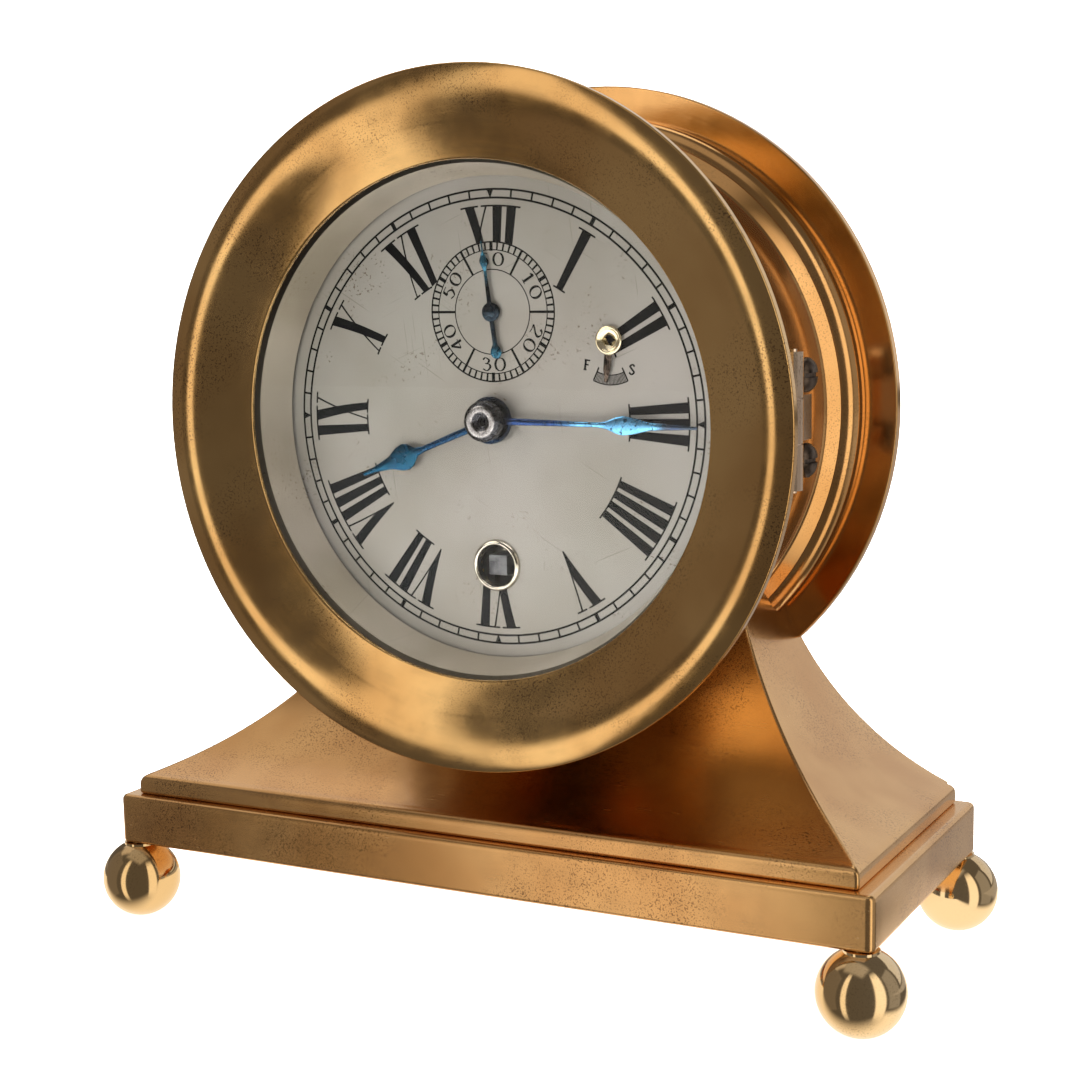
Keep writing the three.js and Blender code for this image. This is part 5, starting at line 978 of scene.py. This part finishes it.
# A quarter past eight and 58.7 seconds; each blade runs outwards as (half width, distance).
HOUR_LEAN = math.radians(8.28 * 30)
MINUTE_LEAN = math.radians(15.1 * 6)
SECOND_LEAN = math.radians(58.7 * 6)
HOUR_BLADE = [(0.75, 3.0), (0.6, 16.5), (0.9, 18.5), (2.2, 19.8), (2.76, 21.2), (2.4, 22.9)]
HOUR_BLADE += [(1.3, 25.0), (0.6, 28.9), (0.3, 32.0)]
MINUTE_BLADE = [(0.7, 2.5), (0.5, 24.0), (0.8, 25.9), (1.5, 27.6), (1.9, 29.2), (1.6, 31.4)]
MINUTE_BLADE += [(0.8, 34.6), (0.3, 44.5)]
SECOND_POINTER = [(0.45, -6.6), (0.5, 0), (0.3, 8.2), (0.8, 9.6), (0.6, 10.8), (0.2, 11.8)]
SECOND_POINTER += [(0.12, 14.0)]
SECOND_TAIL = [(0.3, -9.2), (0.85, -8.8), (1.25, -8.1), (1.0, -7.2), (0.5, -6.4)]
HOUR_BACK, MINUTE_BACK, SECOND_BACK = -17.7, -18.9, -16.8


def hub(outer, inner, back, front):
    """A hand's round boss with a bored middle and an eased front edge."""
    corners = [(inner, back), (outer, back), (outer, front, 0.25), (inner, front, 0.1)]
    return turned("hub", corners, CLOCK, "Y", True, 64)


hour_hand = joined(
    "hour_hand_blued",
    hand_blade(HOUR_BLADE, HOUR_BACK, -18.25, HOUR_LEAN),
    hub(4.7, 2.45, HOUR_BACK, -18.5),
)
dress(hour_hand, hour_teal, "hour_group", "blued_steel", "hour_hand")
minute_hand = joined(
    "minute_hand_blued",
    hand_blade(MINUTE_BLADE, MINUTE_BACK, -19.45, MINUTE_LEAN),
    hub(3.7, 1.55, MINUTE_BACK, -19.6),
)
dress(minute_hand, minute_blue_painted_glint, "minute_group", "blued_steel", "minute_hand")
# the seconds hand's boss is closed in front, over the end of its arbor
seconds_boss = [(0, -17.5), (0.75, -17.45, 0.2), (1.0, -17.2, 0.1), (1.9, -17.2, 0.3)]
seconds_boss += [(1.9, -16.5), (0, -16.5)]
seconds_hand = joined(
    "seconds_hand_blued",
    hand_blade(SECOND_POINTER, SECOND_BACK, -17.2, SECOND_LEAN, SECONDS),
    hand_blade(SECOND_TAIL, SECOND_BACK, -17.2, SECOND_LEAN, SECONDS),
    turned("boss", seconds_boss, SECONDS_AXIS, "Y", False, 48),
)
dress(seconds_hand, seconds_teal, "fourth_group", "blued_steel", "seconds_hand")

# Turned steel gone dark, coloured in rings round the axis: painted black shade down the hole, painted
# shade on the countersink and the outer chamfer, and a painted highlight on the pale flat face between
# them.
nut_steel, tree, shader, place = start("dark steel with painted shade and highlight")
# the rings are painted light: black shade in the hole, dark shade on the slopes, a pale highlight on
# the flat face
nut_painted_light_rings = (0.7, 0.95, "3A3A3E"), (1.75, 2.05, "A8A4A4"), (2.95, 3.25, "3E3E42")
face = ringed(tree, place, CLOCK, "08080A", *nut_painted_light_rings)
grime = mottled(tree, place, 1.1, 0.4, 0.65, 2.6, most=0.3)
dull = mottled(tree, place, 0.8, 0.3, 0.7, 4.4, least=0.2, most=0.32)
tone = layered(tree, face, (grime, "1E1E22"))
fill(shader, {"Base Color": tone, "Roughness": dull, "Metallic": 1.0})
nut_outline = [(0, -20.6), (0.8, -20.6), (0.8, -21.5, 0.1), (1.9, -22.1, 0.2), (2.05, -22.2, 0.1)]
nut_outline += [(2.95, -22.2, 0.25), (4.0, -21.5, 0.3), (4.0, -19.65), (0, -19.65)]
nut = turned("cannon_nut", nut_outline, CLOCK, "Y", False, 64)
dress(nut, nut_steel, "minute_group", "dark_steel", "hand_nut")


# Reflector ring
# A thin cone of silvered brass between the glass and the dial, held in the bezel with the glass.
# It hides the gap at the dial's edge and throws light on the dial.

ring_silver = silvered(
    "silvered brass reflector", "C2B9AB", "ABA190", "7A6850", (0.3, 0.48), (1600, 1600, 2.0), CLOCK, 0.2
)
GLASS_RADIUS, GLASS_BACK, GLASS_FRONT, RING_STOP = 51.9, -25.2, -26.9, -24.3
ring_outline = [(49.8, GLASS_BACK), (GLASS_RADIUS, GLASS_BACK), (GLASS_RADIUS, RING_STOP)]
ring_outline += [(50.5, RING_STOP, 0.3), (48.5, -16.8), (47.6, -16.8, 0.15)]
ring = turned("reflector_cone", ring_outline, CLOCK)
dress(ring, ring_silver, "bezel_door", "silvered_brass", "reflector_ring")


# Glass
# A flat round of clear window glass with a ground edge. It lies behind the bezel's lip, and the
# reflector ring holds it there.

glass_edge = [(GLASS_RADIUS, GLASS_FRONT, 0.3), (GLASS_RADIUS, GLASS_BACK, 0.3)]
glass_outline = eased([(0, GLASS_FRONT), *glass_edge, (0, GLASS_BACK)], False, 3)
# Clear glass with a faint film of dust. The photographed glass hardly mirrors the room, so its
# index is far under a window pane's.
clear, tree, shader, place = start("clear flat glass")
film = layered(tree, "FFFFFF", (mottled(tree, place, 30, 0.2, 0.8, 0.5), "F6F8F6"))
fill(shader, {"Base Color": film, "Transmission Weight": 1.0, "Roughness": 0.0, "IOR": 1.2})
# light for the dial passes straight through, as it does through real window glass
passing = add(tree, "ShaderNodeBsdfTransparent")
shadow = add(tree, "ShaderNodeLightPath").outputs["Is Shadow Ray"]
seen = add(tree, "ShaderNodeMixShader", {0: shadow, 1: shader, 2: passing})
fill(tree.nodes["Material Output"], {"Surface": seen})
glass = turned("flat_glass", glass_outline, CLOCK, "Y", False)
dress(glass, clear, "bezel_door", "clear_glass", "glass")


# Bezel
# A heavy cast and turned ring: a broad dish that rises hollow from the glass and rolls over to a
# round rim, and behind it a plain skirt that slides over the front of the case.

# Cast red brass, turned and rubbed with fine emery under a warm lacquer: wide satin lights on
# the dish, a little freckled.
bezel_brass = brass(
    "satin turned brass", "EAC385", "D2A669", "5E3818", (0.13, 0.25), (1300, 1300, 3.0), CLOCK, 0.6
)
SKIRT_END, SKIRT_BORE, RIM_RADIUS, LIP_RADIUS, REBATE = -5.2, 53.0, 68.0, 50.4, 52.0
bezel_outline = [
    (LIP_RADIUS, GLASS_FRONT),
    *bend((LIP_RADIUS, -27.2), (LIP_RADIUS, -27.65), (50.8, -27.72), 4),
    *bend((51.0, -27.77), (54.1, -28.65), (57.2, -30.0), 20),
    *bend((57.4, -30.1), (59.6, -31.1), (61.2, -31.6), 12),
    *bend((61.4, -31.66), (63.4, -32.25), (65.2, -32.1), 14),
    *bend((65.4, -32.08), (66.8, -31.95), (67.7, -31.55), 8),
    *bend((67.75, -31.52), (RIM_RADIUS, -31.4), (RIM_RADIUS, -31.1), 4),
    (RIM_RADIUS, -29.6, 0.2),
    (67.2, -29.4, 0.2),
    *bend((66.0, -29.5), (58.8, -27.2), (NECK_RADIUS, -25.4), 20),
    (NECK_RADIUS, SKIRT_END, 0.4),
    (SKIRT_BORE, SKIRT_END, 0.2),
    (SKIRT_BORE, RING_STOP),
    (REBATE, RING_STOP),
    (REBATE, GLASS_FRONT),
]
bezel = turned("bezel_ring", bezel_outline, CLOCK, "Y", True, 176)
dress(bezel, bezel_brass, "bezel_door", "satin_brass", "bezel")


# Hinge
# Two pressed leaves let in on the right of the skirt and the drum, knuckled round one pin. The
# case's leaf is held by two domed, slotted screws.

# Nickelled brass rubbed pale: a soft grey-gold sheen with the warm metal showing through.
leaf_metal = brass(
    "worn nickelled brass", "F0DECB", "D6BCA6", "6A4630", (0.16, 0.3), (1800, 1800, 150), speck=0.5
)
repaint(leaf_metal, "hinge_leaf_bezel", "hinge_leaf_case", "hinge_pin")
LEAF_FACE, LEAF_SCREW_Y, LEAF_SCREW_Z = 57.3, 4.2, 8.3
for side, z in (("upper", LEAF_SCREW_Z), ("lower", -LEAF_SCREW_Z)):
    seat = (LEAF_FACE, LEAF_SCREW_Y, CLOCK_HEIGHT + z)
    names = f"leaf_screw_{side}", f"hinge_screw_{side}"
    slotted_screw(*names, seat, "X", 1, (3.4, 2.2), (1.0, 5.8), 0.9)


# Floor, light and camera
# White paper that rises to a wall behind, soft light from above, and two tall soft boxes in a
# dim room on either side of the camera. The camera stands where the photograph was taken from.


def sheet(name, along, height, material):
    """Paper hung over a line of (y, z) points and drawn out straight along x."""
    x = np.linspace(-2.2, 2.2, 12)
    y, z = np.array(along)[:, None], np.array(height)[:, None]
    points = np.stack(np.broadcast_arrays(x[None], y, z), -1).reshape(-1, 3)
    index = np.arange(len(points)).reshape(len(y), len(x))
    corners = index[:-1, :-1], index[:-1, 1:], index[1:, 1:], index[1:, :-1]
    mesh = bpy.data.meshes.new(name)
    mesh.from_pydata(points.tolist(), [], np.stack(corners, -1).reshape(-1, 4).tolist())
    mesh.shade_smooth()
    mesh.materials.append(material)
    hung = placed(name, mesh)
    # the brass sees past the paper to the dim room, as past the edge of a small table
    hung.visible_glossy = False


# White background paper: matt, with a faint grain, and lit a little from behind.
paper, tree, shader, place = start("white background paper")
grain = layered(tree, "F7F6F4", (mottled(tree, place, 4, 0.3, 0.7, 0.0), "F3F2F0"))
fill(shader, {"Base Color": grain, "Roughness": 0.9, "Specular IOR Level": 0.1})
fill(shader, {"Emission Color": "FFFDFA", "Emission Strength": 0.95})
rise = np.linspace(0, math.pi / 2, 25)[1:]
sheet("near_floor", np.linspace(-1.6, 0.04, 12), np.zeros(12), paper)
far_y = np.concatenate([np.linspace(0.04, 1.0, 10), 1.0 + 0.6 * np.sin(rise), [1.6] * 5])
far_z = np.concatenate([np.zeros(10), 0.6 - 0.6 * np.cos(rise), np.linspace(0.9, 2.4, 5)])
sheet("far_sweep", far_y, far_z, paper)


def facing(name, data, place, target):
    """An object set in a place with its front, -Z, turned to a target."""
    lamp = placed(name, data)
    back = np.array(place, float) - np.array(target, float)
    back /= np.linalg.norm(back)
    right = np.cross((0, 0, 1), back) if abs(back[2]) < 0.999 else np.array((1.0, 0, 0))
    right /= np.linalg.norm(right)
    turn = Matrix(np.column_stack([right, np.cross(back, right), back]).tolist())
    lamp.matrix_world = Matrix.Translation(place) @ turn.to_4x4()
    return lamp


def soft_light(name, place, target, width, height, power, colour):
    """A rectangular soft light that faces a target. The brass sees the soft boxes instead."""
    data = bpy.data.lights.new(name, "AREA")
    data.shape = "RECTANGLE"
    data.size, data.size_y, data.energy = width, height, power
    data.color = linear(colour)[:3]
    facing(name, data, place, target).visible_glossy = False


MIDDLE = (0, 0, 0.1)
soft_light("key_light", (-0.75, -0.65, 0.85), MIDDLE, 0.7, 0.7, 5, "FFFAF2")
soft_light("top_light", (0.2, 0.1, 1.2), (0, 0.1, 0), 1.2, 1.0, 24, "FFFDFA")
soft_light("side_light", (1.1, -0.3, 0.5), MIDDLE, 0.4, 0.8, 2, "FFF3E2")
soft_light("wall_light", (0, 0.6, 1.7), (0, 1.7, 0.6), 2.4, 0.5, 40, "FFFFFF")


def lit_cloth(name, place, target, width, height, strength, colour, edge=0.07, ends=None):
    """The lit face of a soft box or a wall, seen only as a reflection: a sheet that faces a
    target from its place, and fades out over its last `edge` metres across, and `ends` along."""
    mesh = bpy.data.meshes.new(name)
    w, h = width / 2, height / 2
    mesh.from_pydata([(-w, -h, 0), (w, -h, 0), (w, h, 0), (-w, h, 0)], [], [(0, 1, 2, 3)])
    cloth = bpy.data.materials.new(name)
    cloth.use_nodes = True
    tree = cloth.node_tree
    tree.nodes.clear()
    place_on = add(tree, "ShaderNodeTexCoord").outputs["Object"]
    parts = add(tree, "ShaderNodeSeparateXYZ", {0: place_on}).outputs
    fades = {}
    for k, (half, fading) in enumerate(((w, edge), (h, ends or edge))):
        off = add(tree, "ShaderNodeMath", {0: parts[k]}, operation="ABSOLUTE")
        span = {"Value": off, "From Min": half - fading, "From Max": half, "To Min": 1.0, "To Max": 0.0}
        fades[k] = add(tree, "ShaderNodeMapRange", span, interpolation_type="SMOOTHSTEP")
    lit = add(tree, "ShaderNodeMath", fades, operation="MULTIPLY")
    glow = add(tree, "ShaderNodeEmission", {"Color": colour, "Strength": strength})
    past = add(tree, "ShaderNodeBsdfTransparent")
    shown = add(tree, "ShaderNodeMixShader", {0: lit, 1: past, 2: glow})
    add(tree, "ShaderNodeOutputMaterial", {"Surface": shown})
    mesh.materials.append(cloth)
    box = facing(name, mesh, place, target)
    box.visible_camera = box.visible_diffuse = box.visible_transmission = box.visible_shadow = False


def upright(name, degrees, reach, width, low, high, strength, colour, edge=0.07, ends=None):
    """An upright cloth at an angle round the clock from its front, positive to the right."""
    angle, middle = math.radians(degrees), (low + high) / 2
    place = (math.sin(angle) * reach, -math.cos(angle) * reach, middle)
    lit_cloth(name, place, (0, 0, middle), width, high - low, strength, colour, edge, ends)


def laid(name, x, y, z, width, height, strength, colour, edge):
    """A cloth laid flat with its lit face down, as the brass sees it in the polished floor."""
    lit_cloth(name, (x, y, z), (x, y, 1), width, height, strength, colour, edge)


upright("left_soft_box", -22, 1.0, 0.31, -1.6, 1.9, 1.25, "FFF0DA", 0.07, 1.1)
upright("right_soft_box", 67, 1.0, 0.55, -1.6, 1.9, 1.25, "FFF0DA", 0.09, 1.1)
upright("left_wall", -72, 1.2, 1.5, -0.9, 1.2, 0.2, "FFEEDD", 0.15)
upright("right_wall", 106, 1.2, 0.9, -0.6, 1.1, 0.32, "FFF4E8", 0.12)
upright("back_wall", 180, 1.55, 3.4, 0.04, 1.5, 0.7, "FFF8F0")
laid("floor_behind", 0, 0.8275, -0.01, 3.2, 1.545, 0.42, "FFF4E8", 0.03)
laid("floor_under", -0.03, 0.0145, -0.001, 0.27, 0.12, 1.2, "FFF0DA", 0.01)
lit_cloth("ceiling", (-0.1, -0.35, 1.35), MIDDLE, 1.6, 1.1, 0.42, "FFF2E2", 0.3)
lit_cloth("top_soft_box", (-0.28, 0.57, 1.18), MIDDLE, 0.95, 0.7, 1.15, "FFF2DC", 0.1)
lit_cloth("far_left_box", (-0.92, 0.66, 1.05), MIDDLE, 0.9, 0.75, 0.72, "FFF2EA", 0.12)
lit_cloth("upper_left", (-0.95, 0.1, 1.2), MIDDLE, 1.0, 1.1, 0.6, "FFEEDA", 0.3)

# the camera sees white paper all round; the brass sees a dim room
world = bpy.data.worlds.new("dim room")
bpy.context.scene.world = world
world.use_nodes = True
tree = world.node_tree
dim = tree.nodes["Background"]
fill(dim, {"Color": "FFF0E0", "Strength": 0.12})
bright = add(tree, "ShaderNodeBackground", {"Color": "FFFFFF", "Strength": 1.0})
to_camera = add(tree, "ShaderNodeLightPath").outputs["Is Camera Ray"]
room = add(tree, "ShaderNodeMixShader", {0: to_camera, 1: dim, 2: bright})
fill(tree.nodes["World Output"], {"Surface": room})
bpy.context.scene.view_settings.view_transform = "Standard"

# the camera was solved from the outlines in the photograph
camera_data = bpy.data.cameras.new("photo_camera")
camera_data.sensor_width = 36.0
camera_data.lens = 65.80
camera_data.shift_x, camera_data.shift_y = 0.0200, 0.0072
camera_data.clip_start, camera_data.clip_end = 0.01, 20
camera = placed("photo_camera", camera_data)
camera_axes = Matrix(
    (
        (0.88539485, -0.05143022, 0.46198581),
        (0.46450620, 0.13553159, -0.87513723),
        (-0.01760518, 0.98943727, 0.14388863),
    )
)
camera.matrix_world = Matrix.Translation((0.18621, -0.36004, 0.13918)) @ camera_axes.to_4x4()
bpy.context.scene.camera = camera
